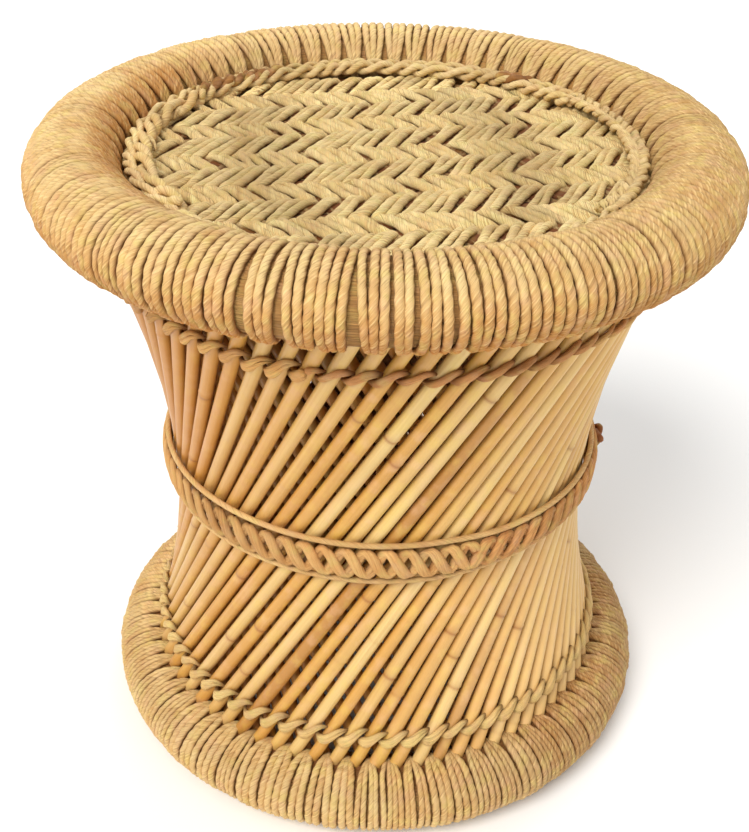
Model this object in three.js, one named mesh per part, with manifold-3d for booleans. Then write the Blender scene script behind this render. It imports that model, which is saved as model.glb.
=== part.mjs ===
// Mudda stool: a waisted drum of crossing reeds between two rope-wound rims, with a woven rope seat.
// Millimetres, +Z up. The origin is on the floor, on the stool's upright axis. The front faces -Y.

import * as THREE from "three";
import { mergeVertices } from "three/addons/utils/BufferGeometryUtils.js";
import Module from "manifold-3d";

const wasm = await Module();
wasm.setup();

// Driving dimensions.

const stoolHeight = 406;
const fitGap = 0.3; // between pieces that lie against each other
const cutOverrun = 20; // how far a cutting shape runs past what it cuts

// The rims: a hoop of bundled grass with one layer of rope turns wound round it.
const topRimRadius = 178.5;
const topRimHalfWidth = 28.1;
const topRimHalfHeight = 24.8;
const bottomRimRadius = 158;
const bottomRimHalfWidth = 25.7;
const bottomRimHalfHeight = 21.9;
const windingThickness = 5.5;
const turnGrooveDepth = 1.4; // groove between two bundles of rope turns
const slotClearance = 1.2; // round the reeds, where they enter a rim
const floorFlatDepth = 0.5; // the bundles are pressed flat where they stand on the floor

// The reeds. Those of the outer layer lean to the right as they rise, those of the inner to the left.
const reedsPerLayer = 72;
const reedsPerBundle = 4;
const reedSides = 6;
const waistRadius = 129.5; // circle of the outer reeds' centre lines at the waist
const reedInset = 1.6; // of the same circle inside a rim's own, level with the rim's centre
const reedPress = 0.2; // how much wider a reed is than its share of the waist
const bundleGap = 0.3; // between two bundles at the waist
const layerGap = 0.4; // between the two layers at the waist
const topReedStop = 6; // below the top rim's centre
const bottomReedStop = 2.6; // above the bottom rim's centre
const layerSpreadShare = 1.08; // radial spacing of the layers at the top, to that at the waist
const firstOuterReedDegrees = -88.2;
const firstInnerReedDegrees = -90;

// The seat.
const seatDrop = 20.5; // its top below the top of the rim
const seatThickness = 10;
const seatRowWidth = 22.5; // one row of slanting stitches
const seatRowDepth = 2.4; // groove between two rows
const seatRowTurnDegrees = 10;
const borderWidth = 11;
const borderThickness = 6;

// The cords that bind the reeds.
const waistBandHeight = 189.9; // middle of the band above the floor
const waistPlaitWidth = 23.2;
const waistPlaitThickness = 4.6;
const plaitGrooveDepth = 1.6;
const waistCordDiameter = 5;
const upperTwiningDrop = 81; // its middle below the top of the stool
const lowerTwiningHeight = 60; // its middle above the floor
const twiningWidth = 12;
const twiningThickness = 4.5;
const twiningPinch = 2; // drawn in between two reeds
const knotWidth = 10;
const knotHeight = 9;
const knotThickness = 6.5;
const knotAzimuthDegrees = 0;

// Counts and shares that shape the facets.
const hoopColumns = 36;
const cordColumns = 48;
const cordSides = 6;
const columnsPerRib = 2;
const outerBands = 5; // of the winding, from its outer lip to its crest
const innerBands = 3; // from its crest to its inner lip
const coreDegrees = [-60, 0, 60, 120, 180]; // round the rim's section, from straight out, over the top
const lipSearchShares = { outer: [-150, -40], inner: [180, 262] }; // degrees between which a lip is found
const plaitApexShare = 0.5; // of one stitch, how far its point runs ahead
const knotWaistShare = 0.72; // width of the knot's ends to that of its middle

const degrees = THREE.MathUtils.degToRad;
const wholeTurn = 2 * Math.PI;
const reedPitch = wholeTurn / reedsPerLayer;
const bundleAngle = reedPitch * reedsPerBundle;

// Finishes.

function finish(colour, roughness) {
  return new THREE.MeshStandardMaterial({ color: colour, roughness, metalness: 0 });
}

const reedTones = [0xdcae64, 0xe6c27f, 0xd49f55, 0xe0b870, 0xd8a878].map((tone) => finish(tone, 0.5));
const innerReedTone = finish(0xc08a4e, 0.6);
const strawRope = finish(0xd9b872, 0.85);
const seatRope = finish(0xd3b987, 0.9);
const goldenCord = finish(0xcf9b55, 0.8);
const paleStraw = finish(0xd9bd84, 0.8);
const bundledGrass = finish(0xa8874f, 0.95);
const darkKnot = finish(0x8a5a30, 0.85);

// Solids.

function geometryFrom(positions, index) {
  const geometry = new THREE.BufferGeometry();
  geometry.setAttribute("position", new THREE.Float32BufferAttribute(positions, 3));
  geometry.setIndex(index);
  geometry.computeVertexNormals();
  return geometry;
}

function solidFrom(geometry) {
  const bare = geometry.clone();
  bare.deleteAttribute("normal");
  bare.deleteAttribute("uv");
  const merged = mergeVertices(bare);
  return new wasm.Manifold(new wasm.Mesh({
    numProp: 3,
    vertProperties: new Float32Array(merged.attributes.position.array),
    triVerts: new Uint32Array(merged.index.array),
  }));
}

function geometryOf(solid) {
  const mesh = solid.getMesh();
  return geometryFrom(Array.from(mesh.vertProperties), Array.from(mesh.triVerts));
}

// A ring-shaped solid from loops of points round the Z axis, each joined to the next and the last to the
// first. A loop may have a whole number of times as many points as its neighbour.
function ringSolid(loops) {
  const positions = [];
  const index = [];
  const starts = loops.map((loop) => {
    const start = positions.length / 3;
    loop.forEach((point) => positions.push(point.x, point.y, point.z));
    return start;
  });
  loops.forEach((loop, k) => {
    const next = (k + 1) % loops.length;
    const here = { start: starts[k], count: loop.length };
    const there = { start: starts[next], count: loops[next].length };
    const dense = here.count >= there.count ? here : there;
    const sparse = dense === here ? there : here;
    const ratio = dense.count / sparse.count;
    const middle = Math.ceil(ratio / 2);
    const onDense = (i) => dense.start + (i % dense.count);
    const onSparse = (i) => sparse.start + (i % sparse.count);
    const push = (a, b, c) => (dense === here ? index.push(a, b, c) : index.push(b, a, c));
    for (let j = 0; j < sparse.count; j += 1) {
      for (let s = 0; s < ratio; s += 1) {
        push(onDense(j * ratio + s), onDense(j * ratio + s + 1), onSparse(s < middle ? j : j + 1));
      }
      push(onDense(j * ratio + middle), onSparse(j + 1), onSparse(j));
    }
  });
  return geometryFrom(positions, index);
}

// One loop of a ring: a place for each column, as a radius and a height, at an even step of azimuth.
function loopOf(columns, place, ahead = 0) {
  return Array.from({ length: columns }, (_, i) => {
    const azimuth = (i / columns) * wholeTurn + ahead;
    const { radius, z } = place(i);
    return new THREE.Vector3(radius * Math.cos(azimuth), radius * Math.sin(azimuth), z);
  });
}

// The reed layers. The straight reeds of a layer lie on a hyperboloid, which is narrowest at the waist.

const topRimCentre = stoolHeight - topRimHalfHeight;
const bottomRimCentre = bottomRimHalfHeight - floorFlatDepth;
const topReach = Math.sqrt((topRimRadius - reedInset) ** 2 - waistRadius ** 2);
const bottomReach = Math.sqrt((bottomRimRadius - reedInset) ** 2 - waistRadius ** 2);
const outerLean = (topReach + bottomReach) / (topRimCentre - bottomRimCentre);
const waistHeight = bottomRimCentre + bottomReach / outerLean;
const topReedEnd = topRimCentre - topReedStop;
const bottomReedEnd = bottomRimCentre + bottomReedStop;

function reedWidth(radius, lean) {
  return (reedPitch * radius) / Math.hypot(1, lean) + reedPress;
}

const outerLayer = { radius: waistRadius, lean: outerLean, width: reedWidth(waistRadius, outerLean) };

// The inner layer clears the outer one at every crossing. Its reeds are as many in a smaller circle, so
// they are a little thinner, which is settled in a few passes.
function settleInnerLayer() {
  const layer = { ...outerLayer };
  for (let pass = 0; pass < 8; pass += 1) {
    const spacing = (outerLayer.width + layer.width) / 2 + layerGap;
    const topRadius = topRimRadius - reedInset - spacing * layerSpreadShare;
    layer.radius = waistRadius - spacing;
    layer.lean = Math.sqrt(topRadius ** 2 - layer.radius ** 2) / (topRimCentre - waistHeight);
    layer.width = reedWidth(layer.radius, layer.lean);
  }
  return layer;
}

const innerLayer = settleInnerLayer();

// Radius of a layer's centre lines at a height, and how far its reeds reach from there, level.
function layerRadius(layer, z) {
  return Math.hypot(layer.radius, (z - waistHeight) * layer.lean);
}

function reedReach(layer, z) {
  const across = (z - waistHeight) * layer.lean;
  const roll = Math.acos(layer.radius / Math.hypot(layer.radius, across * Math.hypot(1, layer.lean)));
  const slope = (across * layer.lean) / layerRadius(layer, z);
  const halfCorner = Math.PI / reedSides;
  return (layer.width / 2) * Math.cos(Math.abs(roll - halfCorner)) * Math.hypot(1, slope);
}

const outerFace = (z) => layerRadius(outerLayer, z) + reedReach(outerLayer, z);
const innerFace = (z) => layerRadius(innerLayer, z) - reedReach(innerLayer, z);

// One reed: a prism round its slanting centre line, its ends cut level.
function reedGeometry(layer, lean, azimuth) {
  const outward = new THREE.Vector3(Math.cos(azimuth), Math.sin(azimuth), 0);
  const sideways = new THREE.Vector3(-Math.sin(azimuth), Math.cos(azimuth), 0);
  const along = sideways.clone().multiplyScalar(lean).add(new THREE.Vector3(0, 0, 1));
  const across = new THREE.Vector3().crossVectors(outward, along.clone().normalize());
  const waist = outward.clone().multiplyScalar(layer.radius).setZ(waistHeight);
  const positions = [];
  [bottomReedEnd, topReedEnd].forEach((end) => {
    for (let i = 0; i < reedSides; i += 1) {
      const corner = (i / reedSides) * wholeTurn;
      const point = waist.clone();
      point.addScaledVector(across, (layer.width / 2) * Math.cos(corner));
      point.addScaledVector(outward, (layer.width / 2) * Math.sin(corner));
      point.addScaledVector(along, end - point.z);
      positions.push(point.x, point.y, point.z);
    }
  });
  const index = [];
  for (let i = 0; i < reedSides; i += 1) {
    const j = (i + 1) % reedSides;
    index.push(i, j, i + reedSides, j, j + reedSides, i + reedSides);
  }
  for (let i = 2; i < reedSides; i += 1) {
    index.push(0, i, i - 1, reedSides, reedSides + i - 1, reedSides + i);
  }
  return geometryFrom(positions, index);
}

// A bundle: neighbouring reeds that the waist band presses together, so that they touch there.
function bundleGeometry(layer, lean) {
  const widthAngle = Math.hypot(1, layer.lean) / layer.radius;
  const gapStep = (layer.width + bundleGap) * widthAngle;
  const step = (bundleAngle - gapStep) / (reedsPerBundle - 1);
  let bundle = solidFrom(reedGeometry(layer, lean, 0));
  for (let i = 1; i < reedsPerBundle; i += 1) {
    bundle = bundle.add(solidFrom(reedGeometry(layer, lean, i * step)));
  }
  return geometryOf(bundle);
}

function reedLayer(name, layer, lean, firstDegrees, tones) {
  const group = new THREE.Group();
  const geometry = bundleGeometry(layer, lean);
  const bundles = reedsPerLayer / reedsPerBundle;
  for (let i = 0; i < bundles; i += 1) {
    const mesh = new THREE.Mesh(geometry, tones[(i * 3) % tones.length]);
    mesh.name = `${name}_${String(i + 1).padStart(2, "0")}`;
    mesh.rotation.z = degrees(firstDegrees) + i * bundleAngle;
    group.add(mesh);
  }
  return group;
}

// The rims. Angles round a rim's section start straight out from the stool and turn over the side that
// faces away from the reeds: over the top on the top rim, under the foot on the bottom rim.

const topRim = {
  radius: topRimRadius, halfWidth: topRimHalfWidth, halfHeight: topRimHalfHeight,
  centre: topRimCentre, away: 1, reedEnd: topReedEnd, reedStop: topReedStop,
};
const bottomRim = {
  radius: bottomRimRadius, halfWidth: bottomRimHalfWidth, halfHeight: bottomRimHalfHeight,
  centre: bottomRimCentre, away: -1, reedEnd: bottomReedEnd, reedStop: bottomReedStop,
};

function sectionPoint(rim, inset, angle) {
  return {
    radius: rim.radius + (rim.halfWidth - inset) * Math.cos(angle),
    z: rim.centre + rim.away * (rim.halfHeight - inset) * Math.sin(angle),
  };
}

// The angle at which a section meets the face of the reeds, found by halving.
function lipAngle(rim, inset, side) {
  const [startDegrees, endDegrees] = lipSearchShares[side];
  let clear = degrees(side === "outer" ? endDegrees : startDegrees);
  let blocked = degrees(side === "outer" ? startDegrees : endDegrees);
  for (let pass = 0; pass < 24; pass += 1) {
    const angle = (clear + blocked) / 2;
    const { radius, z } = sectionPoint(rim, inset, angle);
    const outside = side === "outer"
      ? radius > outerFace(z) + slotClearance
      : radius < innerFace(z) - slotClearance;
    if (outside) clear = angle;
    else blocked = angle;
  }
  return clear;
}

function stretch(from, to, bands) {
  return Array.from({ length: bands }, (_, i) => from + ((to - from) * i) / bands);
}

// The winding: a shell of rope turns, drawn into one bundle between each two reeds, open where the
// reeds enter the rim. A level foot gives the bundles flats to stand on.
function windingGeometry(rim, ribTurn, levelFoot) {
  const crest = Math.PI / 2;
  const footHalf = levelFoot ? crest / outerBands : 0;
  const outerLip = lipAngle(rim, 0, "outer");
  const innerLip = lipAngle(rim, 0, "inner");
  const outside = [
    ...stretch(outerLip, crest - footHalf, levelFoot ? outerBands - 1 : outerBands),
    ...(levelFoot ? [crest - footHalf] : []),
    ...stretch(crest + footHalf, innerLip, innerBands),
    innerLip,
  ];
  const loops = outside.map((angle) => {
    const level = levelFoot && Math.abs(angle - crest) < crest / 2 ? 1 / Math.sin(angle) : 1;
    return loopOf(reedsPerLayer * columnsPerRib, (i) => {
      const { radius, z } = sectionPoint(rim, i % columnsPerRib ? 0 : turnGrooveDepth, angle);
      return { radius, z: rim.centre + (z - rim.centre) * level };
    }, ribTurn);
  });
  const cavity = [
    lipAngle(rim, windingThickness, "outer"), ...coreDegrees.map(degrees),
    coreEndAngle(rim), lipAngle(rim, windingThickness, "inner"),
  ];
  cavity.reverse().forEach((angle) => {
    loops.push(loopOf(hoopColumns, () => sectionPoint(rim, windingThickness, angle), ribTurn));
  });
  if (rim.away < 0) loops.reverse();
  return ringSolid(loops);
}

// The core's section ends level with the cut ends of the reeds, on the side of the stool's axis.
function coreEndAngle(rim) {
  const height = rim.halfHeight - windingThickness - fitGap;
  return Math.PI + Math.asin((rim.reedStop - fitGap) / height);
}

// The core: a hoop of bundled grass that sits on the reed ends and wraps round their outer side.
function coreGeometry(rim, ribTurn) {
  const inset = windingThickness + fitGap;
  const angles = [lipAngle(rim, inset, "outer"), ...coreDegrees.map(degrees), coreEndAngle(rim)];
  const roof = rim.reedEnd + rim.away * fitGap;
  const corner = { radius: outerFace(roof) + slotClearance, z: roof };
  const places = [...angles.map((angle) => sectionPoint(rim, inset, angle)), corner];
  const loops = places.map((place) => loopOf(hoopColumns, () => place, ribTurn));
  if (rim.away < 0) loops.reverse();
  return ringSolid(loops);
}

// The bundles of turns are pressed flat where they stand on the floor.
function flattenedOnFloor(geometry) {
  const width = 2 * (bottomRimRadius + bottomRimHalfWidth + cutOverrun);
  const floor = new THREE.BoxGeometry(width, width, cutOverrun);
  floor.translate(0, 0, -cutOverrun / 2);
  return geometryOf(solidFrom(geometry).subtract(solidFrom(floor)));
}

// The seat.

const seatTop = stoolHeight - seatDrop;
const seatBottom = seatTop - seatThickness;
const seatRadius = topRimRadius - topRimHalfWidth - fitGap;

// Rows of slanting stitches run across the seat: ridges on a disc.
function seatGeometry() {
  const rows = Math.ceil(seatRadius / seatRowWidth);
  const half = rows * seatRowWidth;
  const profile = new THREE.Shape();
  profile.moveTo(-half, seatBottom);
  profile.lineTo(half, seatBottom);
  for (let i = rows; i > -rows; i -= 1) {
    profile.lineTo(i * seatRowWidth, seatTop - seatRowDepth);
    profile.lineTo((i - 1 / 2) * seatRowWidth, seatTop);
  }
  profile.lineTo(-half, seatTop - seatRowDepth);
  profile.closePath();
  const rowsBody = new THREE.ExtrudeGeometry(profile, { depth: 2 * half, bevelEnabled: false });
  rowsBody.translate(0, 0, -half);
  rowsBody.rotateX(Math.PI / 2);
  rowsBody.rotateZ(degrees(seatRowTurnDegrees) - Math.PI / 2);
  const disc = new THREE.CylinderGeometry(seatRadius, seatRadius, 2 * seatThickness, reedsPerLayer);
  disc.rotateX(Math.PI / 2);
  disc.translate(0, 0, seatTop);
  return geometryOf(solidFrom(rowsBody).intersect(solidFrom(disc)));
}

// A cord laid in a ring, oval in section.
function cordRing(radius, z, width, height) {
  const section = [];
  for (let i = 0; i <= cordSides; i += 1) {
    const angle = (i / cordSides) * wholeTurn;
    section.push(new THREE.Vector2(radius + (width / 2) * Math.cos(angle), (height / 2) * Math.sin(angle)));
  }
  const geometry = new THREE.LatheGeometry(section, cordColumns);
  geometry.rotateX(Math.PI / 2);
  geometry.translate(0, 0, z);
  return geometry;
}

// The border plait lies on the edge of the seat, in the corner that it makes with the rim.
function borderGeometry() {
  const z = seatTop + fitGap + borderThickness / 2;
  const rise = (z - topRimCentre) / topRimHalfHeight;
  const wall = topRimRadius - topRimHalfWidth * Math.sqrt(1 - rise ** 2);
  return cordRing(wall - fitGap - borderWidth / 2, z, borderWidth, borderThickness);
}

// The cords that bind the reeds.

function waistCordGeometry(z) {
  const polygonSlack = outerFace(z) * (1 / Math.cos(Math.PI / cordColumns) - 1);
  const radius = outerFace(z) + fitGap + polygonSlack + waistCordDiameter / 2;
  return cordRing(radius, z, waistCordDiameter, waistCordDiameter);
}

const plaitTop = waistBandHeight + waistPlaitWidth / 2;
const plaitBottom = waistBandHeight - waistPlaitWidth / 2;
const plaitInside = Math.max(outerFace(plaitTop), outerFace(plaitBottom)) + fitGap;
const plaitOutside = plaitInside + waistPlaitThickness;
const waistCordOffset = waistPlaitWidth / 2 + fitGap + waistCordDiameter / 2;

// A flat braid of pointed stitches, one to each reed.
function plaitGeometry() {
  const columns = reedsPerLayer * columnsPerRib;
  const ahead = reedPitch * plaitApexShare;
  const outside = (i) => (i % columnsPerRib ? plaitOutside : plaitOutside - plaitGrooveDepth);
  const loops = [
    loopOf(columns, (i) => ({ radius: outside(i), z: plaitBottom })),
    loopOf(columns, (i) => ({ radius: outside(i), z: waistBandHeight }), ahead),
    loopOf(columns, (i) => ({ radius: outside(i), z: plaitTop })),
    loopOf(reedsPerLayer, () => ({ radius: plaitInside, z: plaitTop })),
    loopOf(reedsPerLayer, () => ({ radius: plaitInside, z: plaitBottom })),
  ];
  return ringSolid(loops);
}

// Azimuth by which a reed of the outer layer has moved on at a height.
function reedTurn(z) {
  return Math.atan2((z - waistHeight) * outerLean, waistRadius);
}

// A twined pair of cords: a swelling over each reed, drawn in between two reeds.
function twiningGeometry(z) {
  const columns = reedsPerLayer * columnsPerRib;
  const halfWidth = twiningWidth / 2;
  const pinch = (i) => (i % columnsPerRib ? twiningPinch : 0);
  const inside = (level) => outerFace(level) + fitGap;
  const turn = (level) => degrees(firstOuterReedDegrees) + reedTurn(level);
  const bottom = z - halfWidth;
  const top = z + halfWidth;
  return ringSolid([
    loopOf(columns, (i) => ({ radius: inside(bottom), z: bottom + pinch(i) }), turn(bottom)),
    loopOf(columns, (i) => ({ radius: inside(z) + twiningThickness - pinch(i), z }), turn(z)),
    loopOf(columns, (i) => ({ radius: inside(top), z: top - pinch(i) }), turn(top)),
  ]);
}

// The knot that ends the waist cords, a lump drawn tight on the plait.
function knotGeometry() {
  const knot = new THREE.SphereGeometry(1 / 2, 8, 6);
  knot.scale(knotThickness, knotWidth, knotHeight);
  const place = knot.attributes.position;
  for (let i = 0; i < place.count; i += 1) {
    const end = Math.abs(place.getY(i)) / knotWidth;
    place.setZ(i, place.getZ(i) * (1 - end * (1 - knotWaistShare)));
  }
  return knot;
}

// Assembly.

function piece(name, geometry, material) {
  const mesh = new THREE.Mesh(geometry, material);
  mesh.name = name;
  return mesh;
}

const stool = new THREE.Group();
const topRibTurn = degrees(firstOuterReedDegrees) + reedTurn(topReedEnd);
const bottomRibTurn = degrees(firstOuterReedDegrees) + reedTurn(bottomReedEnd);

stool.add(
  reedLayer("outer_reeds", outerLayer, outerLayer.lean, firstOuterReedDegrees, reedTones),
  reedLayer("inner_reeds", innerLayer, -innerLayer.lean, firstInnerReedDegrees, [innerReedTone]),
  piece("top_rim_core", coreGeometry(topRim, topRibTurn), bundledGrass),
  piece("top_rim_winding", windingGeometry(topRim, topRibTurn, false), strawRope),
  piece("bottom_rim_core", coreGeometry(bottomRim, bottomRibTurn), bundledGrass),
  piece("bottom_rim_winding", flattenedOnFloor(windingGeometry(bottomRim, bottomRibTurn, true)), strawRope),
  piece("seat_web", seatGeometry(), seatRope),
  piece("seat_border_plait", borderGeometry(), seatRope),
  piece("upper_twining", twiningGeometry(stoolHeight - upperTwiningDrop), goldenCord),
  piece("waist_upper_cord", waistCordGeometry(waistBandHeight + waistCordOffset), goldenCord),
  piece("waist_plait", plaitGeometry(), goldenCord),
  piece("waist_lower_cord", waistCordGeometry(waistBandHeight - waistCordOffset), goldenCord),
  piece("lower_twining", twiningGeometry(lowerTwiningHeight), paleStraw),
);

const knot = piece("waist_knot", knotGeometry(), darkKnot);
const knotRadius = plaitOutside + fitGap + knotThickness / 2;
const knotAzimuth = degrees(knotAzimuthDegrees);
knot.position.set(knotRadius * Math.cos(knotAzimuth), knotRadius * Math.sin(knotAzimuth), waistBandHeight);
knot.rotation.z = knotAzimuth;
stool.add(knot);

export default stool;
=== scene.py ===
"""Mudda stool: how it looks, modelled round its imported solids.

A drum of round reeds in two crossing layers, between two rims wound with twisted straw rope, with a
herringbone seat. Lengths are in metres, +Z is up, and the front of the stool faces -Y.
"""

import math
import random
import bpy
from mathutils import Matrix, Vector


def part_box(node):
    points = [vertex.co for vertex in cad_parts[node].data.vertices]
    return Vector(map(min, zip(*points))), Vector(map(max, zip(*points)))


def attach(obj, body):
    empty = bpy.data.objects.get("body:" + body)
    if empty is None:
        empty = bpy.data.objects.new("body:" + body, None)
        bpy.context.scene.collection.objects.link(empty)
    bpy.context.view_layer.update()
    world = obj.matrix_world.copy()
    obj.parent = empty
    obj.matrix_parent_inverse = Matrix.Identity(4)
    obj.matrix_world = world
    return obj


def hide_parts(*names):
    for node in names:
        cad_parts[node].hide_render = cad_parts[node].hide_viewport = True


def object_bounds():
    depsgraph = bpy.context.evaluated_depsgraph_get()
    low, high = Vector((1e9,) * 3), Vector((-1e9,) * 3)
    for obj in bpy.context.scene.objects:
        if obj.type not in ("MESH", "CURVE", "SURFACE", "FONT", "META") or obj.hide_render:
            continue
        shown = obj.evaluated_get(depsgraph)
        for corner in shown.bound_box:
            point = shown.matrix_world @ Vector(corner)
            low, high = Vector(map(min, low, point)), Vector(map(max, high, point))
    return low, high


bl_info = {
    "name": "Mudda Stool",
    "version": (1, 0, 0),
    "blender": (4, 5, 0),
    "location": "View3D > Sidebar > Mudda",
    "description": "Models a reed and rope stool round its packed solids",
    "category": "Object",
}

import bpy
import numpy as np
from mathutils import Matrix, Vector

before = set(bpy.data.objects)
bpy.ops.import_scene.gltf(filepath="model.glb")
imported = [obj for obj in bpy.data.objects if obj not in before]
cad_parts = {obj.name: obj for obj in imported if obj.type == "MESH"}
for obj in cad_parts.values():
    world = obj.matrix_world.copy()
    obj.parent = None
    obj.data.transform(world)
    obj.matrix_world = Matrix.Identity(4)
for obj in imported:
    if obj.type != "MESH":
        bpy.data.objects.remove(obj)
CAD_LOW, CAD_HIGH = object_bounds()

MM = 0.001
TURN = 2 * math.pi
BODY = "root"
FRONT = -math.pi / 2  # azimuth of the side that faces the camera
REEDS_PER_LAYER = 72
REEDS_PER_BUNDLE = 4
REED_PITCH = TURN / REEDS_PER_LAYER


# Settings


def linear(code):
    """An sRGB hex colour as linear red, green and blue."""
    shares = [int(code[i : i + 2], 16) / 255 for i in (0, 2, 4)]
    return tuple(s / 12.92 if s <= 0.04045 else ((s + 0.055) / 1.055) ** 2.4 for s in shares)


def length(name, description, millimetres):
    return bpy.props.FloatProperty(
        name=name, description=description, default=millimetres * MM, unit="LENGTH", subtype="DISTANCE"
    )


def angle(name, description, degrees):
    return bpy.props.FloatProperty(
        name=name, description=description, default=math.radians(degrees), unit="ROTATION", subtype="ANGLE"
    )


def colour(name, description, code):
    return bpy.props.FloatVectorProperty(
        name=name, description=description, default=linear(code), subtype="COLOR", min=0, max=1
    )


def rim_sizes(rim, radius, half_width, half_height, thickness, lay):
    """The sizes of one rim, as the properties of a group."""
    return {
        "radius": length("Radius", f"Circle of the {rim} rim's middle", radius),
        "half_width": length("Half width", f"Half of the {rim} rim's width", half_width),
        "half_height": length("Half height", f"Half of the {rim} rim's height", half_height),
        "rope": length("Rope", f"Thickness of the rope wound round the {rim} rim", thickness),
        "lay": length("Lay", "One full twist of the rope's two strands", lay),
    }


class TopRimSizes(bpy.types.PropertyGroup):
    __annotations__ = rim_sizes("top", 178.5, 28.1, 24.8, 5.5, 14.5)


class BottomRimSizes(bpy.types.PropertyGroup):
    __annotations__ = rim_sizes("bottom", 158, 25.7, 21.4, 4.6, 12)


class DrumSizes(bpy.types.PropertyGroup):
    waist_radius: length("Waist radius", "Circle of the outer reeds at the waist", 129.5)
    reed_inset: length("Reed inset", "Of the reeds' circle inside a rim's own", 1.6)
    reed_width: length("Reed width", "Thickness of an outer reed", 9.9)
    inner_radius: length("Inner waist", "Circle of the inner reeds at the waist", 119.5)
    inner_width: length("Inner reed width", "Thickness of an inner reed", 9.2)
    first_outer: angle("First outer reed", "Azimuth of the first outer reed at the waist", -88.2)
    first_inner: angle("First inner reed", "Azimuth of the first inner reed at the waist", -90)


class SeatSizes(bpy.types.PropertyGroup):
    radius: length("Radius", "Edge of the weave, inside the rim", 150)
    top: length("Top", "Height of the weave's upper face", 385.5)
    thickness: length("Thickness", "Of the whole weave", 10)
    strand: length("Strand", "Thickness of one rope of a stitch", 5.5)
    stitch: length("Stitch", "From one stitch to the next along a row", 14)
    rising_row: length("Rising row", "Width of a row whose stitches lean to the right", 26.5)
    falling_row: length("Falling row", "Width of a row whose stitches lean to the left", 20.5)
    row_turn: angle("Row turn", "How far the rows rise to the right", 10)


class CordSizes(bpy.types.PropertyGroup):
    upper_twining: length("Upper twining", "Height of the cords under the top rim", 325)
    lower_twining: length("Lower twining", "Height of the cords over the bottom rim", 60)
    band: length("Waist band", "Height of the middle of the plait", 189.9)
    plait_width: length("Plait width", "Height of the plait on the reeds", 22)
    waist_cord: length("Waist cord", "Thickness of the cords beside the plait", 3.5)


class StoolColours(bpy.types.PropertyGroup):
    straw_light: colour("Straw, light", "Rope in the light", "E2C68C")
    straw_dark: colour("Straw, dark", "Rope with more of the stem in it", "C89A5C")
    straw_groove: colour("Straw, groove", "Between two strands of rope", "7A4F22")
    reed_pale: colour("Reed, pale", "The palest reeds", "DFC07C")
    reed_golden: colour("Reed, golden", "Most of the reeds", "D09C4C")
    reed_brown: colour("Reed, brown", "A few reeds cut late", "AE7836")
    reed_node: colour("Reed, node", "The ring where a leaf grew", "94551F")
    grass: colour("Grass", "Bundled grass inside the rims", "BE8C4E")
    knot: colour("Knot", "Cord darkened where it is tied", "9C5E30")
    floor: colour("Floor", "The pale floor", "F7F7F6")


# Materials

WARM_PATCH = 90 * MM  # size of the patches that the sun has left warmer
# Golden straw is laid on the rims as painted shade, and in patches that the sun has left warmer.
GOLDEN_STRAW, GREENER_STRAW, PINKER_STRAW = linear("C47E2E"), linear("D8C470"), linear("D9A982")
# Reed tints: the first is painted shade at the upper left, the second and third painted light on the right.
SHADED_UPPER_LEFT_REED, SUNLIT_REED, PALER_REED = linear("BC762A"), linear("EABF74"), linear("F0CE96")
YELLOWER_REED, PINKER_REED, SHADED_REED = linear("E0C058"), linear("E2B48C"), linear("7C3E1C")


def add_node(tree, kind, settings=(), inputs=()):
    """Adds one node, with its own settings, and its sockets' values or the outputs linked to them."""
    node = tree.nodes.new(kind)
    for name, value in dict(settings).items():
        setattr(node, name, value)
    for name, value in dict(inputs).items():
        if isinstance(value, bpy.types.NodeSocket):
            tree.links.new(value, node.inputs[name])
        else:
            node.inputs[name].default_value = value
    return node


def new_material(name, *marks):
    """A material, its node tree, and the values that its pieces keep for each point under these names."""
    material = bpy.data.materials.new(name)
    material.use_nodes = True
    tree = material.node_tree
    tree.nodes.clear()
    read = [add_node(tree, "ShaderNodeAttribute", {"attribute_name": mark}) for mark in marks]
    return material, tree, *(node.outputs["Fac"] for node in read)


def scaled(shades, *shares):
    """A colour with its red, green and blue each taken times a share, and none past full."""
    return [min(1.0, s * k) for s, k in zip(shades, shares)]


def computed(tree, operation, *values):
    """The result of one sum over these values and outputs, in order."""
    return add_node(tree, "ShaderNodeMath", {"operation": operation}, enumerate(values)).outputs[0]


def split(tree, vector):
    """The outputs of a vector's X, Y and Z."""
    return add_node(tree, "ShaderNodeSeparateXYZ", inputs={"Vector": vector}).outputs


def share_of(tree, *ranges):
    """How much values count together: their shares times each other.

    Each range is a value, its start and its full, and the share that it gives at each of the two."""
    product = None
    for value, start, full, least, most in ranges:
        inputs = {"Value": value, "From Min": start, "From Max": full, "To Min": least, "To Max": most}
        share = add_node(tree, "ShaderNodeMapRange", inputs=inputs).outputs["Result"]
        product = share if product is None else computed(tree, "MULTIPLY", product, share)
    return product


def tinted(tree, base, *tints):
    """Colours laid over a base, one after another.

    Each tint is a colour, a value, the value where it starts and where it is full, and its share there."""
    for shades, value, start, full, share in tints:
        over = {0: share_of(tree, (value, start, full, 0, share)), 6: base, 7: (*shades, 1)}
        base = add_node(tree, "ShaderNodeMix", {"data_type": "RGBA"}, over).outputs[2]
    return base


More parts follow.
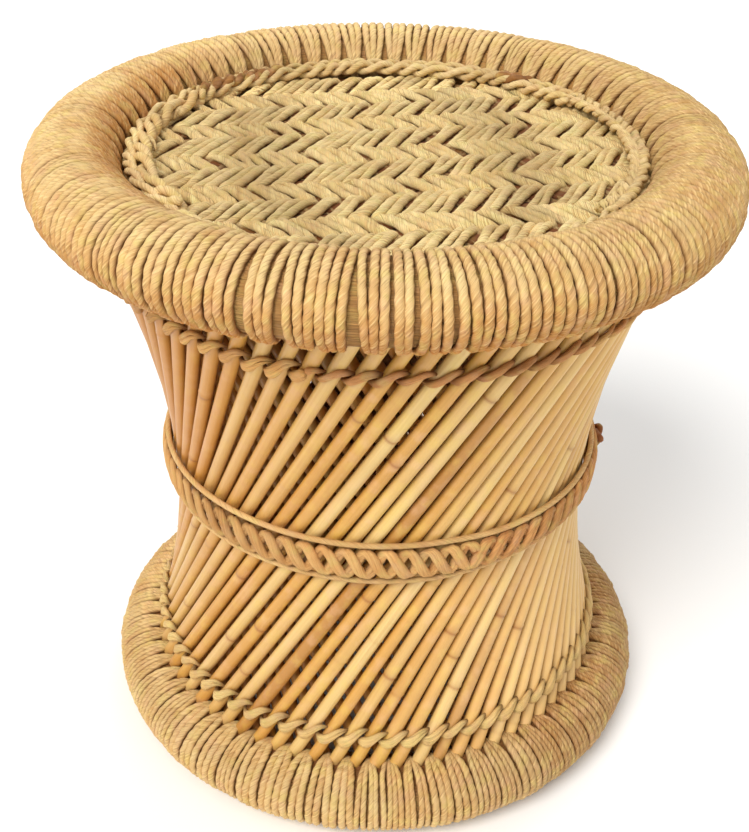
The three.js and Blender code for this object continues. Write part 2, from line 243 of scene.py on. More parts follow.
def stem_patterns(tree, fibres, patch, drift):
    """What dry stems vary by: the fibres along them, patches, and two drifts of hue from place to place.

    Fibres are how many show round a strand, the length of one, their detail and their roughness, on a UV
    map that is a share round the strand and metres along it. Patch is a size, drift a size and a detail."""
    around, reach, detail, roughness = fibres
    uv = add_node(tree, "ShaderNodeUVMap", {"uv_map": "UVMap"}).outputs[0]
    along = add_node(tree, "ShaderNodeMapping", inputs={"Vector": uv, "Scale": (around, 1 / reach, 1)})
    place = add_node(tree, "ShaderNodeTexCoord").outputs["Object"]
    streaks, patches, drifts = (
        add_node(tree, "ShaderNodeTexNoise", inputs=inputs).outputs
        for inputs in (
            {"Vector": along.outputs[0], "Scale": 1.0, "Detail": detail, "Roughness": roughness},
            {"Vector": place, "Scale": 1 / patch, "Detail": 3.0},
            {"Vector": place, "Scale": 1 / drift[0], "Detail": drift[1]},
        )
    )
    hues = add_node(tree, "ShaderNodeSeparateColor", inputs={"Color": drifts["Color"]}).outputs
    return streaks["Fac"], patches["Fac"], hues["Red"], hues["Green"], place


def surfaced(tree, relief, strength, height, sockets):
    """Ends a material in a surface with a relief of this strength and height."""
    inputs = {"Height": relief, "Strength": strength, "Distance": height}
    bump = add_node(tree, "ShaderNodeBump", inputs=inputs)
    shader = add_node(tree, "ShaderNodeBsdfPrincipled", inputs={**sockets, "Normal": bump.outputs[0]})
    add_node(tree, "ShaderNodeOutputMaterial", inputs={"Surface": shader.outputs["BSDF"]})


def warmth_and_shade_share(tree, place, axes, rim):
    """How much golden straw is laid on at a place on a rim.

    It is painted shade, strongest low on the outside and then at the left of the inside, and warmth in
    patches that the sun has left."""
    flat = add_node(tree, "ShaderNodeVectorMath", {"operation": "MULTIPLY"}, {0: place, 1: (1, 1, 0)})
    reach = add_node(tree, "ShaderNodeVectorMath", {"operation": "LENGTH"}, {0: flat.outputs[0]})
    radius, middle, share = reach.outputs["Value"], rim.sizes.radius, rim.winding["warmth_and_shade_share"]
    low, high = (rim.centre + height * MM for height in rim.winding["shade_heights"])
    inputs = {"Vector": place, "Scale": 1 / WARM_PATCH, "Detail": 2.0}
    areas = add_node(tree, "ShaderNodeTexNoise", inputs=inputs)
    outside = ((axes["Z"], high, low, 0, share), (radius, middle - 6 * MM, middle + 14 * MM, 0, 1))
    inside = (
        (radius, middle - 4 * MM, middle - 16 * MM, 0, 1),
        (axes["X"], -80 * MM, -140 * MM, 0, 0.72 * share),
    )
    most = share_of(tree, (areas.outputs["Fac"], 0.55, 0.75, 0, 0.5))
    for ranges in (outside, inside):
        most = computed(tree, "MAXIMUM", most, share_of(tree, *ranges))
    return most


def rope_material(name, light, dark, groove, fibre_length=14 * MM, rim=None, crease=0.22, fibre_share=1.0):
    """Twisted straw rope, spun from dry munja grass and left raw.

    Dull, with stem fibres that run along each strand, some greener and some pinker than the rest, and
    brown shade in the groove between two strands. Fibres are about 0.5 mm wide, and drawn at 1 mm and more
    so that they show. Crease says how dark the groove is, and fibre share how much the fibres count."""
    material, tree, tone, shade = new_material(name, "tone", "shade")
    stems = (13, fibre_length, 2.5, 0.65)
    fibres, patches, greener, pinker, place = stem_patterns(tree, stems, 14 * MM, (9 * MM, 2.0))
    aged = computed(tree, "MULTIPLY_ADD", tone, 0.4, share_of(tree, (patches, 0.35, 0.68, 0, 0.5)))
    base = tinted(tree, (*light, 1), (dark, aged, 0, 1, 1))
    if rim:
        axes = split(tree, place)
        base = tinted(
            tree,
            base,
            # Golden straw: painted shade low on the outside and at the left of the inside, and sun-warmed
            # patches.
            (GOLDEN_STRAW, warmth_and_shade_share(tree, place, axes, rim), 0, 1, 1),
            (linear(rim.winding["shade"]), axes["X"], 30 * MM, rim.winding["right"] * MM, 0.5),
            # Paler towards the back: painted light.
            (scaled(light, 1.2, 1.2, 1.2), axes["Y"], 80 * MM, 170 * MM, 0.45),
        )
    uv = add_node(tree, "ShaderNodeUVMap", {"uv_map": "UVMap"}).outputs[0]
    wave = computed(tree, "COSINE", computed(tree, "MULTIPLY", split(tree, uv)["X"], 2 * TURN))
    base = tinted(
        tree,
        base,
        (GREENER_STRAW, greener, 0.5, 0.66, 0.4),
        (PINKER_STRAW, pinker, 0.52, 0.68, 0.35),
        (scaled(light, 1.25, 1.25, 1.25), fibres, 0.52, 0.66, 0.5 * fibre_share),
        (groove, fibres, 0.47, 0.34, 0.42 * fibre_share),
        (groove, wave, -0.45, -1.0, crease),
        (scaled(groove, 0.82, 0.58, 0.45), shade, 0.4, 1.1, 0.85),
    )
    dull = share_of(tree, (fibres, 0.3, 0.7, 0.6, 0.8))
    sockets = {"Base Color": base, "Roughness": dull, "IOR": 1.5, "Specular IOR Level": 0.3}
    surfaced(tree, fibres, 0.9, 0.9 * MM, sockets)
    return material


# The finishes of the straws: light and dark stems, and the length in mm of the fibres that show
STRAWS = {
    "twisted_straw_seat_rope": ("FDE0A2", "DEB16A", 8),  # tight rope of thin stems: pale, with short fibres
    "straw_in_deep_shade": ("6A4220", "4A2C14", 14),  # brown, as hardly any light gets between the stitches
    "plaited_straw_border": ("EED49C", "CFA566", 14),  # raw rope, a little duller than the seat's
    "straw_rope_stained_brown": ("A06E38", "613A18", 14),  # the same rope, with a stain in its fibres
    # Partly painted shade: this flat straw of the upper twining, on the left under the top rim, is darker and
    # more orange than the lower twining's.
    "flat_golden_straw": ("E4AE66", "C48848", 20),  # split stems pressed flat: golden, with long fibres
    "golden_brown_cord": ("E0A062", "B67438", 12),  # stems twisted hard: browner, with short fibres
    "shaded_brown_straw": ("A8642F", "6E3A1A", 14),  # seen only through the gaps between reeds: dim
    "flat_pale_straw": ("F4D18C", "DEAC62", 20),  # split stems that the sun has bleached: pale and even
    "golden_straw_cord": ("F3C37E", "D29250", 16),  # loose stems with their skin on: a warm gold
    "golden_brown_plait": ("DAA060", "A66A36", 16),  # the same stems drawn tight: browner
    "pale_waist_cord": ("EFC98A", "D6A262", 30),  # a thin cord of long stems: pale and smooth
}


def straw(name, colours, **finish):
    """The material of one of the straws."""
    light, dark, fibre_length = STRAWS[name]
    return rope_material(name, linear(light), linear(dark), colours.straw_groove, fibre_length * MM, **finish)


def reed_material(name, colours, depth=(1.0, 1.0, 1.0)):
    """Sarkanda reed, dried whole with its skin on.

    Smooth and faintly glossy, straw to golden brown, with long fine streaks and a dark ring at each node.
    Streaks are drawn 2 mm wide, coarser than real ones. Depth dims the reeds that stand behind others."""
    material, tree, tone, ring, shade = new_material(name, "tone", "node_ring", "shade")
    golden, brown = colours.reed_golden, colours.reed_brown
    stops = ((0.0, colours.reed_pale), (0.45, golden), (0.8, golden), (1.0, brown))
    ramp = add_node(tree, "ShaderNodeValToRGB", inputs={"Fac": tone})
    while len(ramp.color_ramp.elements) < len(stops):
        ramp.color_ramp.elements.new(1.0)
    for element, (position, shades) in zip(ramp.color_ramp.elements, stops):
        element.position = position
        element.color = (*scaled(shades, *depth), 1)
    stems = (14, 90 * MM, 4.0, 0.55)
    streaks, patches, yellower, pinker, place = stem_patterns(tree, stems, 60 * MM, (13 * MM, 3.0))
    axes = split(tree, place)
    right, up = axes["X"], axes["Z"]
    # Painted shade: darker, more golden reeds towards the upper left.
    upper_left_shade = share_of(tree, (right, -10 * MM, -130 * MM, 0, 0.65), (up, 130 * MM, 230 * MM, 0.3, 1))
    # Painted light: sunlit reeds to the right, and paler ones low on the right.
    lit_low_right = share_of(tree, (right, 0, 90 * MM, 0, 0.25), (up, 210 * MM, 170 * MM, 0, 1))
    base = tinted(
        tree,
        ramp.outputs[0],
        (brown, streaks, 0.35, 0.75, 0.35),
        (brown, patches, 0.5, 0.8, 0.3),
        (YELLOWER_REED, yellower, 0.5, 0.7, 0.35),
        (PINKER_REED, pinker, 0.52, 0.7, 0.3),
        (SHADED_UPPER_LEFT_REED, upper_left_shade, 0, 1, 1),
        (SUNLIT_REED, right, 40 * MM, 120 * MM, 0.4),
        (PALER_REED, lit_low_right, 0, 1, 1),
        (colours.reed_node, ring, 0, 1, 0.7),
        (SHADED_REED, shade, -0.1, 0.55, 0.75),
    )
    satin = share_of(tree, (streaks, 0.3, 0.7, 0.36, 0.52))
    sockets = {"Base Color": base, "Roughness": satin, "IOR": 1.5, "Coat Weight": 0.12, "Coat Roughness": 0.3}
    surfaced(tree, streaks, 0.25, 0.3 * MM, sockets)
    return material


def floor_material(shades):
    """Painted studio floor, rolled matt: pale, with no pattern that shows from a step away."""
    material, tree = new_material("matt_studio_paint")
    place = add_node(tree, "ShaderNodeTexCoord").outputs["Object"]
    roller = add_node(tree, "ShaderNodeTexNoise", inputs={"Vector": place, "Scale": 1 / (4 * MM)})
    surfaced(tree, roller.outputs["Fac"], 0.05, 0.1 * MM, {"Base Color": (*shades, 1), "Roughness": 0.9})
    return material


# Shapes


def only(*objects):
    """Selects these objects and nothing else."""
    bpy.ops.object.select_all(action="DESELECT")
    for item in objects:
        item.select_set(True)
    bpy.context.view_layer.objects.active = objects[0]


def linked(name, data):
    item = bpy.data.objects.new(name, data)
    bpy.context.scene.collection.objects.link(item)
    return item


def polar(radius, azimuth, z):
    return Vector((radius * math.cos(azimuth), radius * math.sin(azimuth), z))


def ease(value):
    """From 0 to 1, slow at both ends."""
    value = min(1.0, max(0.0, value))
    return value * value * (3 - 2 * value)


def waver(at, *waves):
    """A slow, uneven wander: the sum of waves, each given as its reach, its rate and its start."""
    return sum(reach * math.sin(rate * at + start) for reach, rate, start in waves)


def section(across, up, reaches=(1.0, 1.0, 1.0, 1.0)):
    """Outline of a cord, with its reach at each of four corners in turn, twice round.

    It runs clockwise, so that the swept faces point outwards."""
    corners = []
    for i in range(8):
        corner = -i / 8 * TURN
        reach = reaches[i % 4] / 2
        corners.append((across * reach * math.cos(corner), up * reach * math.sin(corner)))
    return corners


def rope_section(thickness, waist):
    """Outline of rope of two strands. Waist is how thick it is where they meet, as a share of the whole."""
    shoulder = (1 + waist) / 2 + 0.03
    return section(thickness, thickness, (1.0, shoulder, waist, shoulder))


def twisted(points, lay, phase=0.0, sizes=None):
    """A run of rope: each point with how far the strands have turned there, and its size."""
    run = []
    travelled = 0.0
    for i, point in enumerate(points):
        if i:
            travelled += (point - points[i - 1]).length
        run.append((point, phase + travelled / lay * TURN, sizes[i] if sizes else 1.0))
    return run


def cord_curve(name, runs, outline, closed, level):
    """A curve with a spline for each run, which gives an outline's shape to all of them."""
    path = bpy.data.curves.new(name, "CURVE")
    path.dimensions = "3D"
    path.twist_mode = "Z_UP" if level else "MINIMUM"
    path.bevel_mode = "OBJECT"
    path.bevel_object = outline
    for run in runs:
        spline = path.splines.new("POLY")
        spline.points.add(len(run) - 1)
        spline.use_cyclic_u = closed
        spline.points.foreach_set("co", [x for place, _, _ in run for x in (*place, 1)])
        spline.points.foreach_set("tilt", [turn for _, turn, _ in run])
        spline.points.foreach_set("radius", [size for _, _, size in run])
    return linked(name, path)


def mark_points(mesh, name, values):
    """Keeps a value for each point of a mesh, which the materials read by its name."""
    values = np.asarray(values, np.float32)
    mesh.attributes.new(name, "FLOAT", "POINT").data.foreach_set("value", values)


def point_places(mesh):
    """The x, y and z of all points of a mesh, as three arrays."""
    places = np.zeros(len(mesh.vertices) * 3, np.float32)
    mesh.vertices.foreach_get("co", places)
    return places.reshape(-1, 3).T


def swept(name, slot, node, runs, corners, material, rng, closed=False, level=False, depth=None):
    """A finished piece of cords, in place of its solid.

    Each run is a list of points with a turn and a size, and a size of 0 closes an end. The UV map is the
    share round the cord and metres along it. Each run has its own tone. Depth gives how far below the face
    of the weave each place lies, from 0 to 1, which is kept as its shade."""
    outline = bpy.data.curves.new(name + "_section", "CURVE")
    outline.dimensions = "2D"
    spline = outline.splines.new("POLY")
    spline.points.add(len(corners) - 1)
    for point, (x, y) in zip(spline.points, corners):
        point.co = (x, y, 0, 1)
    spline.use_cyclic_u = True
    outline_object = linked(name + "_section", outline)
    only(cord_curve(name, runs, outline_object, closed, level))
    bpy.ops.object.convert(target="MESH")
    piece = bpy.context.object
    piece.name = name
    bpy.data.objects.remove(outline_object)

    mesh = piece.data
    run_of_vertex = np.repeat(np.arange(len(runs)), [len(run) * len(corners) for run in runs])
    tones = np.array([rng.random() for _ in runs])
    mark_points(mesh, "tone", tones[run_of_vertex])
    if depth:
        mark_points(mesh, "shade", np.clip(depth(*point_places(mesh)), 0, 1))
    first = 0 if closed else 1
    lengths = [sum((run[i][0] - run[i - 1][0]).length for i in range(first, len(run))) for run in runs]
    vertices = np.zeros(len(mesh.loops), np.int32)
    mesh.loops.foreach_get("vertex_index", vertices)
    uv = np.zeros(len(mesh.loops) * 2, np.float32)
    mesh.uv_layers[0].data.foreach_get("uv", uv)
    uv[1::2] *= np.array(lengths)[run_of_vertex[vertices]]
    mesh.uv_layers[0].data.foreach_set("uv", uv)
    mesh.uv_layers[0].name = "UVMap"
    if not closed:
        bpy.ops.object.mode_set(mode="EDIT")
        bpy.ops.mesh.select_all(action="SELECT")
        bpy.ops.mesh.remove_doubles(threshold=1e-6)
        bpy.ops.object.mode_set(mode="OBJECT")
    bpy.ops.object.shade_smooth()
    finished(piece, material, node)


def finished(piece, material, node):
    """Gives a piece its material, and puts it on the stool in place of its solid."""
    piece.data.materials.clear()
    piece.data.materials.append(material)
    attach(piece, BODY)
    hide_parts(node)


# The drum: straight reeds in two layers, each on a hyperboloid that is narrowest at the waist

INNER_SPREAD = 1.08  # how much more than at the waist the inner layer stands inside the outer one at the top
CORD_FACE = 9 * MM  # from the circle of the outer reeds to the face of the cords over them
CORD_DEPTH = 6 * MM  # how far below that face a cord is in full shade


class Drum:
    """Where the reeds run, worked out from the rims that hold them."""

    def __init__(self, scene):
        drum, top, bottom = scene.mudda_drum, scene.mudda_top_rim, scene.mudda_bottom_rim
        self.sizes = drum
        self.top_centre = CAD_HIGH.z - top.half_height
        self.bottom_centre = bottom.half_height
        up = math.sqrt((top.radius - drum.reed_inset) ** 2 - drum.waist_radius**2)
        down = math.sqrt((bottom.radius - drum.reed_inset) ** 2 - drum.waist_radius**2)
        self.lean = (up + down) / (self.top_centre - self.bottom_centre)
        self.waist = self.bottom_centre + down / self.lean
        top_radius = top.radius - drum.reed_inset - (drum.waist_radius - drum.inner_radius) * INNER_SPREAD
        self.inner_lean = math.sqrt(top_radius**2 - drum.inner_radius**2) / (self.top_centre - self.waist)

    def radius(self, z):
        return np.hypot(self.sizes.waist_radius, (z - self.waist) * self.lean)

    def face(self, z):
        """Radius of the outer face of the reeds."""
        slope = (z - self.waist) * self.lean**2 / self.radius(z)
        return self.radius(z) + self.sizes.reed_width / 2 * math.hypot(1, slope)

    def depth(self, x, y, z):
        """How far inside the cords over the reeds a place is, as a share of what shows of them."""
        return (self.radius(z) + CORD_FACE - np.hypot(x, y)) / CORD_DEPTH

    def turn(self, z):
        """How far round an outer reed has gone at a height, from its place at the waist."""
        return math.atan2((z - self.waist) * self.lean, self.sizes.waist_radius)

    def gap(self, number, z):
        """Azimuth of the gap after an outer reed at a height."""
        return self.sizes.first_outer + (number + 0.5) * REED_PITCH + self.turn(z)

    def reed_at(self, degrees, z):
        """Number of the outer reed that is this many degrees right of the front at a height."""
        away = FRONT + math.radians(degrees) - self.turn(z) - self.sizes.first_outer
        return round(away / REED_PITCH)


BUNDLE_GAP = 0.3 * MM  # a bundle keeps this much more room from the next one
NODE_HALF = 2.6 * MM  # from the middle of a reed's node to its edge
NODE_SHARES = (1 / 3, 2 / 3)  # where the model reed has its nodes
REED_SHADE = 4 * MM  # how far inside its layer's circle a reed is darkest


class Layer:
    """One layer of reeds. Way is 1 where they lean to the right as they rise, and -1 the other way."""

    def __init__(self, drum, name):
        sizes = drum.sizes
        outer = name == "outer"
        self.name = name
        self.waist = drum.waist
        self.way = 1 if outer else -1
        self.radius = sizes.waist_radius if outer else sizes.inner_radius
        self.lean = drum.lean if outer else drum.inner_lean
        self.first = sizes.first_outer if outer else sizes.first_inner
        self.width = sizes.reed_width if outer else sizes.inner_width
        self.slim = 0.95 if outer else 0.9

    def radius_at(self, z):
        return np.hypot(self.radius, (z - self.waist) * self.lean)

    def azimuth(self, bundle, number):
        """Where a bundle's reed stands at the waist."""
        across = (self.width + BUNDLE_GAP) * math.hypot(1, self.lean) / self.radius
        step = (REED_PITCH * REEDS_PER_BUNDLE - across) / (REEDS_PER_BUNDLE - 1)
        return self.first + bundle * REED_PITCH * REEDS_PER_BUNDLE + number * step

    def place(self, azimuth, foot, roll, taper):
        """The matrix that lays a reed, modelled up the Z axis, along its slanting line."""
        outward = polar(1, azimuth, 0)
        sideways = Vector((-outward.y, outward.x, 0))
        rise = sideways * self.way * self.lean + Vector((0, 0, 1))
        along = rise.normalized()
        start = outward * self.radius + Vector((0, 0, self.waist)) + rise * (foot - self.waist)
        axes = Matrix((outward, outward.cross(along), along)).transposed().to_4x4()
        slimmed = Matrix.Diagonal((taper, taper, 1, 1))
        return Matrix.Translation(start) @ axes @ Matrix.Rotation(roll, 4, "Z") @ slimmed


def model_reed(width, reach):
    """One straight reed up the Z axis, with two nodes: a ring of raised skin over a groove."""
    bpy.ops.object.select_all(action="DESELECT")
    middle = (0, 0, reach / 2)
    bpy.ops.mesh.primitive_cylinder_add(vertices=14, radius=width / 2, depth=reach, location=middle)
    reed = bpy.context.object
    bpy.ops.object.transform_apply()
    bpy.ops.object.mode_set(mode="EDIT")
    for share in NODE_SHARES:
        for offset in (-2, -1, -1 / 3, 1 / 3, 1, 2):
            bpy.ops.mesh.select_all(action="SELECT")
            bpy.ops.mesh.bisect(plane_co=(0, 0, share * reach + offset * NODE_HALF), plane_no=(0, 0, 1))
    bpy.ops.object.mode_set(mode="OBJECT")
    mesh = reed.data
    ring = mesh.attributes.new("node_ring", "FLOAT", "POINT")
    for vertex in mesh.vertices:
        for share in NODE_SHARES:
            away = vertex.co.z - share * reach
            if abs(abs(away) - NODE_HALF / 3) < 0.1 * MM:
                swell, mark = (1.07, 0.4) if away > 0 else (0.97, 1.0)
                vertex.co.x *= swell
                vertex.co.y *= swell
                ring.data[vertex.index].value = mark
            elif abs(abs(away) - NODE_HALF) < 0.1 * MM:
                ring.data[vertex.index].value = 0.16
    bpy.ops.object.shade_smooth_by_angle(angle=math.radians(50))
    uv = mesh.uv_layers[0]
    uv.name = "UVMap"
    for corner in uv.data:
        corner.uv.y = (corner.uv.y - 0.5) * 2 * reach
    return reed


def reed_copy(model, reach, nodes, darkness, tone, narrowing, place, layer):
    """A copy of the model reed with its nodes moved to these heights, turned into its place.

    Darkness says how strong the mark of each node is, and narrowing how much thinner one end is."""
    mesh = model.data.copy()
    rings = mesh.attributes["node_ring"].data
    for vertex in mesh.vertices:
        share = vertex.co.z / reach if narrowing > 0 else 1 - vertex.co.z / reach
        vertex.co.x *= 1 - abs(narrowing) * share
        vertex.co.y *= 1 - abs(narrowing) * share
        for share, height in zip(NODE_SHARES, nodes):
            if abs(vertex.co.z - share * reach) < 2.5 * NODE_HALF:
                vertex.co.z += height - share * reach
        rings[vertex.index].value *= darkness
    mark_points(mesh, "tone", np.full(len(mesh.vertices), tone))
    mesh.transform(place)
    x, y, z = point_places(mesh)
    mark_points(mesh, "shade", (layer.radius_at(z) - np.hypot(x, y)) / REED_SHADE)
    return linked("reed", mesh)


# Nodes of the outer reeds that the front shows: degrees to the right of the front, and height
FRONT_NODES = (
    (-43, 0.284), (2.5, 0.282), (3, 0.263), (23.5, 0.306), (-2, 0.158), (-43, 0.099), (18, 0.128),
    (36, 0.128), (21, 0.110), (5, 0.101), (-5, 0.297), (-37, 0.150), (-30, 0.118), (-57, 0.216),
    (42, 0.112), (45, 0.262), (33, 0.225),
)
BROWN_REEDS = ((17.5, 0.262), (32, 0.105))  # places that two darker reeds pass through


class MUDDA_OT_reed_layers(bpy.types.Operator):
    """Lays the two crossing layers of reeds, four to a bundle"""

    bl_idname = "mudda.reed_layers"
    bl_label = "Reed layers"

    def execute(self, context):
        drum = Drum(context.scene)
        colours = context.scene.mudda_colours
        rng = random.Random(11)
        marked = {}
        for degrees, height in FRONT_NODES:
            marked.setdefault(drum.reed_at(degrees, height) % REEDS_PER_LAYER, []).append(height)
        brown = {drum.reed_at(degrees, height) % REEDS_PER_LAYER for degrees, height in BROWN_REEDS}
        outer = reed_material("dried_sarkanda_reed", colours)
        inner = reed_material("dried_sarkanda_reed_in_shade", colours, depth=(1.12, 0.84, 0.56))
        self.lay(Layer(drum, "outer"), outer, rng, marked, brown)
        self.lay(Layer(drum, "inner"), inner, rng, {}, set())
        return {"FINISHED"}

    def lay(self, layer, material, rng, marked, brown):
        """Lays a layer. Marked gives the heights of some reeds' nodes, and brown which reeds are darker."""
        low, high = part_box(f"{layer.name}_reeds_01")
        slant = math.hypot(1, layer.lean)
        reach = (high.z - low.z) * slant
        ends = (3 * NODE_HALF, reach - 3 * NODE_HALF)
        model = model_reed(layer.width, reach)
        for bundle in range(REEDS_PER_LAYER // REEDS_PER_BUNDLE):
            reeds = []
            for i in range(REEDS_PER_BUNDLE):
                number = bundle * REEDS_PER_BUNDLE + i
                drawn = [low.z + rng.uniform(0.02, 0.16), low.z + rng.uniform(0.2, 0.7)]
                nodes = sorted((h - low.z) * slant for h in marked.get(number, drawn))[:2]
                nodes = [min(ends[1], h) for h in nodes]
                if len(nodes) == 1:
                    nodes = [nodes[0], ends[1]] if nodes[0] < reach / 2 else [ends[0], nodes[0]]
                tone = 0.97 if number in brown else min(0.9, max(0.0, rng.gauss(0.38, 0.22)))
                roll, taper = rng.uniform(0, TURN), rng.uniform(0.92, 0.99) * layer.slim
                place = layer.place(layer.azimuth(bundle, i), low.z, roll, taper)
                narrowing = rng.choice((-1, 1)) * rng.uniform(0.08, 0.2)
                darkness = 1.0 if number in marked else rng.choice((0.15, 0.15, 0.3, 0.8))
                reeds.append(reed_copy(model, reach, nodes, darkness, tone, narrowing, place, layer))
            only(*reeds)
            bpy.ops.object.join()
            piece = bpy.context.object
            piece.name = f"{layer.name}_reed_bundle_{bundle + 1:02d}"
            finished(piece, material, f"{layer.name}_reeds_{bundle + 1:02d}")
        bpy.data.objects.remove(model)


# The rims

# How the rope goes round each rim, with angles in degrees round its section. Lips are where a turn comes out
# between two reeds and where it goes in again. Turns are drawn together by outer_draw from the first of the
# starts back to the first lip, and by inner_draw between the other two. Snug is how wide a turn is for its
# room. Shade heights, in mm from the rim's middle, are where the golden painted shade low on the outside is
# full and where there is none, and its share is how strong it is. Right is how far to the right its darker
# shade of straw is strongest. Openings show the grass: degrees right of the front, mm wide
WINDINGS = {
    "top": {
        "seed": 5, "turns_per_gap": 3.25, "snug": 1.02, "lips": (-97, 205), "starts": (-15, 112, 182),
        "outer_draw": 0.6, "inner_draw": 0.82, "warmth_and_shade_share": 1.0, "shade_heights": (-19.84, 19.84),
        "right": 180, "shade": "A87E42", "material": "twisted_straw_rope",
        "openings": (
            (-19.2, 4.2), (-13.5, 4.6), (-3.4, 5.6), (1.7, 1.6), (3.8, 2.6), (9.4, 2.0), (33, 1.8),
            (118, 4), (171, 5), (204, 3), (248, 4.5),
        ),
    },
    "bottom": {
        "seed": 6, "turns_per_gap": 3.6, "snug": 1.1, "lips": (-118, 216), "starts": (-74, 140, 216),
        "outer_draw": 0.86, "inner_draw": 0.5, "warmth_and_shade_share": 0.25, "shade_heights": (-71.4, 28.6),
        "right": 120, "shade": "7C4C20", "material": "twisted_straw_rope_at_the_foot", "openings": (),
    },
}
ROPE_LENGTHS = 4  # lengths of rope on each rim
STEPS_PER_LAY = 6
TUCK_ANGLE, TUCK_DEPTH = 0.12, 4 * MM  # between the points of an end that is tucked in


class Rim:
    """A rim's section. Its angle starts straight out and turns over the side away from the reeds."""

    def __init__(self, scene, name):
        self.name = name
        self.away = 1 if name == "top" else -1
        self.sizes = scene.mudda_top_rim if name == "top" else scene.mudda_bottom_rim
        self.centre = CAD_HIGH.z - self.sizes.half_height if name == "top" else self.sizes.half_height
        self.winding = WINDINGS[name]

    def point(self, angle, azimuth, inset):
        radius = self.sizes.radius + (self.sizes.half_width - inset) * math.cos(angle)
        z = self.centre + self.away * (self.sizes.half_height - inset) * math.sin(angle)
        return polar(radius, azimuth, z)

    def depth(self, x, y, z):
        """How far below the face of the winding a place is, as a share of half the rope."""
        out = (np.hypot(x, y) - self.sizes.radius) / self.sizes.half_width
        up = (z - self.centre) / self.sizes.half_height
        return (1 - np.hypot(out, up)) * self.sizes.half_width / (self.sizes.rope * 0.55)


class MUDDA_OT_rim_cores(bpy.types.Operator):
    """Lays the hoop of bundled grass inside each rim"""

    bl_idname = "mudda.rim_cores"
    bl_label = "Rim cores"

    def execute(self, context):
        colours = context.scene.mudda_colours
        shades = (colours.grass, linear("DDAA6C"), colours.straw_groove)
        grass = rope_material("bundled_munja_grass", *shades, 80 * MM, fibre_share=2.0)
        for name in WINDINGS:
            self.hoop(Rim(context.scene, name), f"{name}_rim_core", grass)
        return {"FINISHED"}

    def hoop(self, rim, name, material):
        """A ring whose section has a groove between each two stems."""
        stem, groove = 1.9 * MM, 1.1 * MM
        sizes = rim.sizes
        inset = sizes.rope * 0.74
        wide, tall = sizes.half_width - inset, sizes.half_height - inset
        stems = round(math.pi * (wide + tall) / stem)
        bpy.ops.object.select_all(action="DESELECT")
        bpy.ops.mesh.primitive_torus_add(
            major_segments=120, minor_segments=2 * stems, major_radius=sizes.radius, minor_radius=wide
        )
        piece = bpy.context.object
        piece.name = "bundled_grass_" + name
        piece.data.uv_layers[0].name = "UVMap"
        bpy.ops.object.mode_set(mode="EDIT")
        bpy.ops.transform.resize(value=(1, 1, tall / wide))
        bpy.ops.mesh.select_all(action="DESELECT")
        bpy.ops.object.mode_set(mode="OBJECT")
        for corner in piece.data.uv_layers[0].data:
            corner.uv = (corner.uv.y * stems / 2, corner.uv.x * TURN * sizes.radius)
        # Painted shade: darkest on the side of the hoop that faces the reeds, and in each groove between two
        # stems.
        shade = piece.data.attributes.new("shade", "FLOAT", "POINT").data
        for vertex in piece.data.vertices:
            out = math.hypot(vertex.co.x, vertex.co.y) - sizes.radius
            around = math.atan2(vertex.co.z / tall, out / wide)
            vertex.select = round(around / TURN * 2 * stems) % 2 == 1
            dark = max(0.0, 1.6 - abs(around + rim.away * math.pi / 2) * 1.6)
            shade[vertex.index].value = min(1.0, dark + (0.54 if vertex.select else 0.0))
        bpy.ops.object.mode_set(mode="EDIT")
        bpy.ops.transform.shrink_fatten(value=-groove)
        bpy.ops.mesh.select_all(action="SELECT")
        bpy.ops.transform.translate(value=(0, 0, rim.centre))
        bpy.ops.object.mode_set(mode="OBJECT")
        bpy.ops.object.shade_smooth()
        finished(piece, material, name)


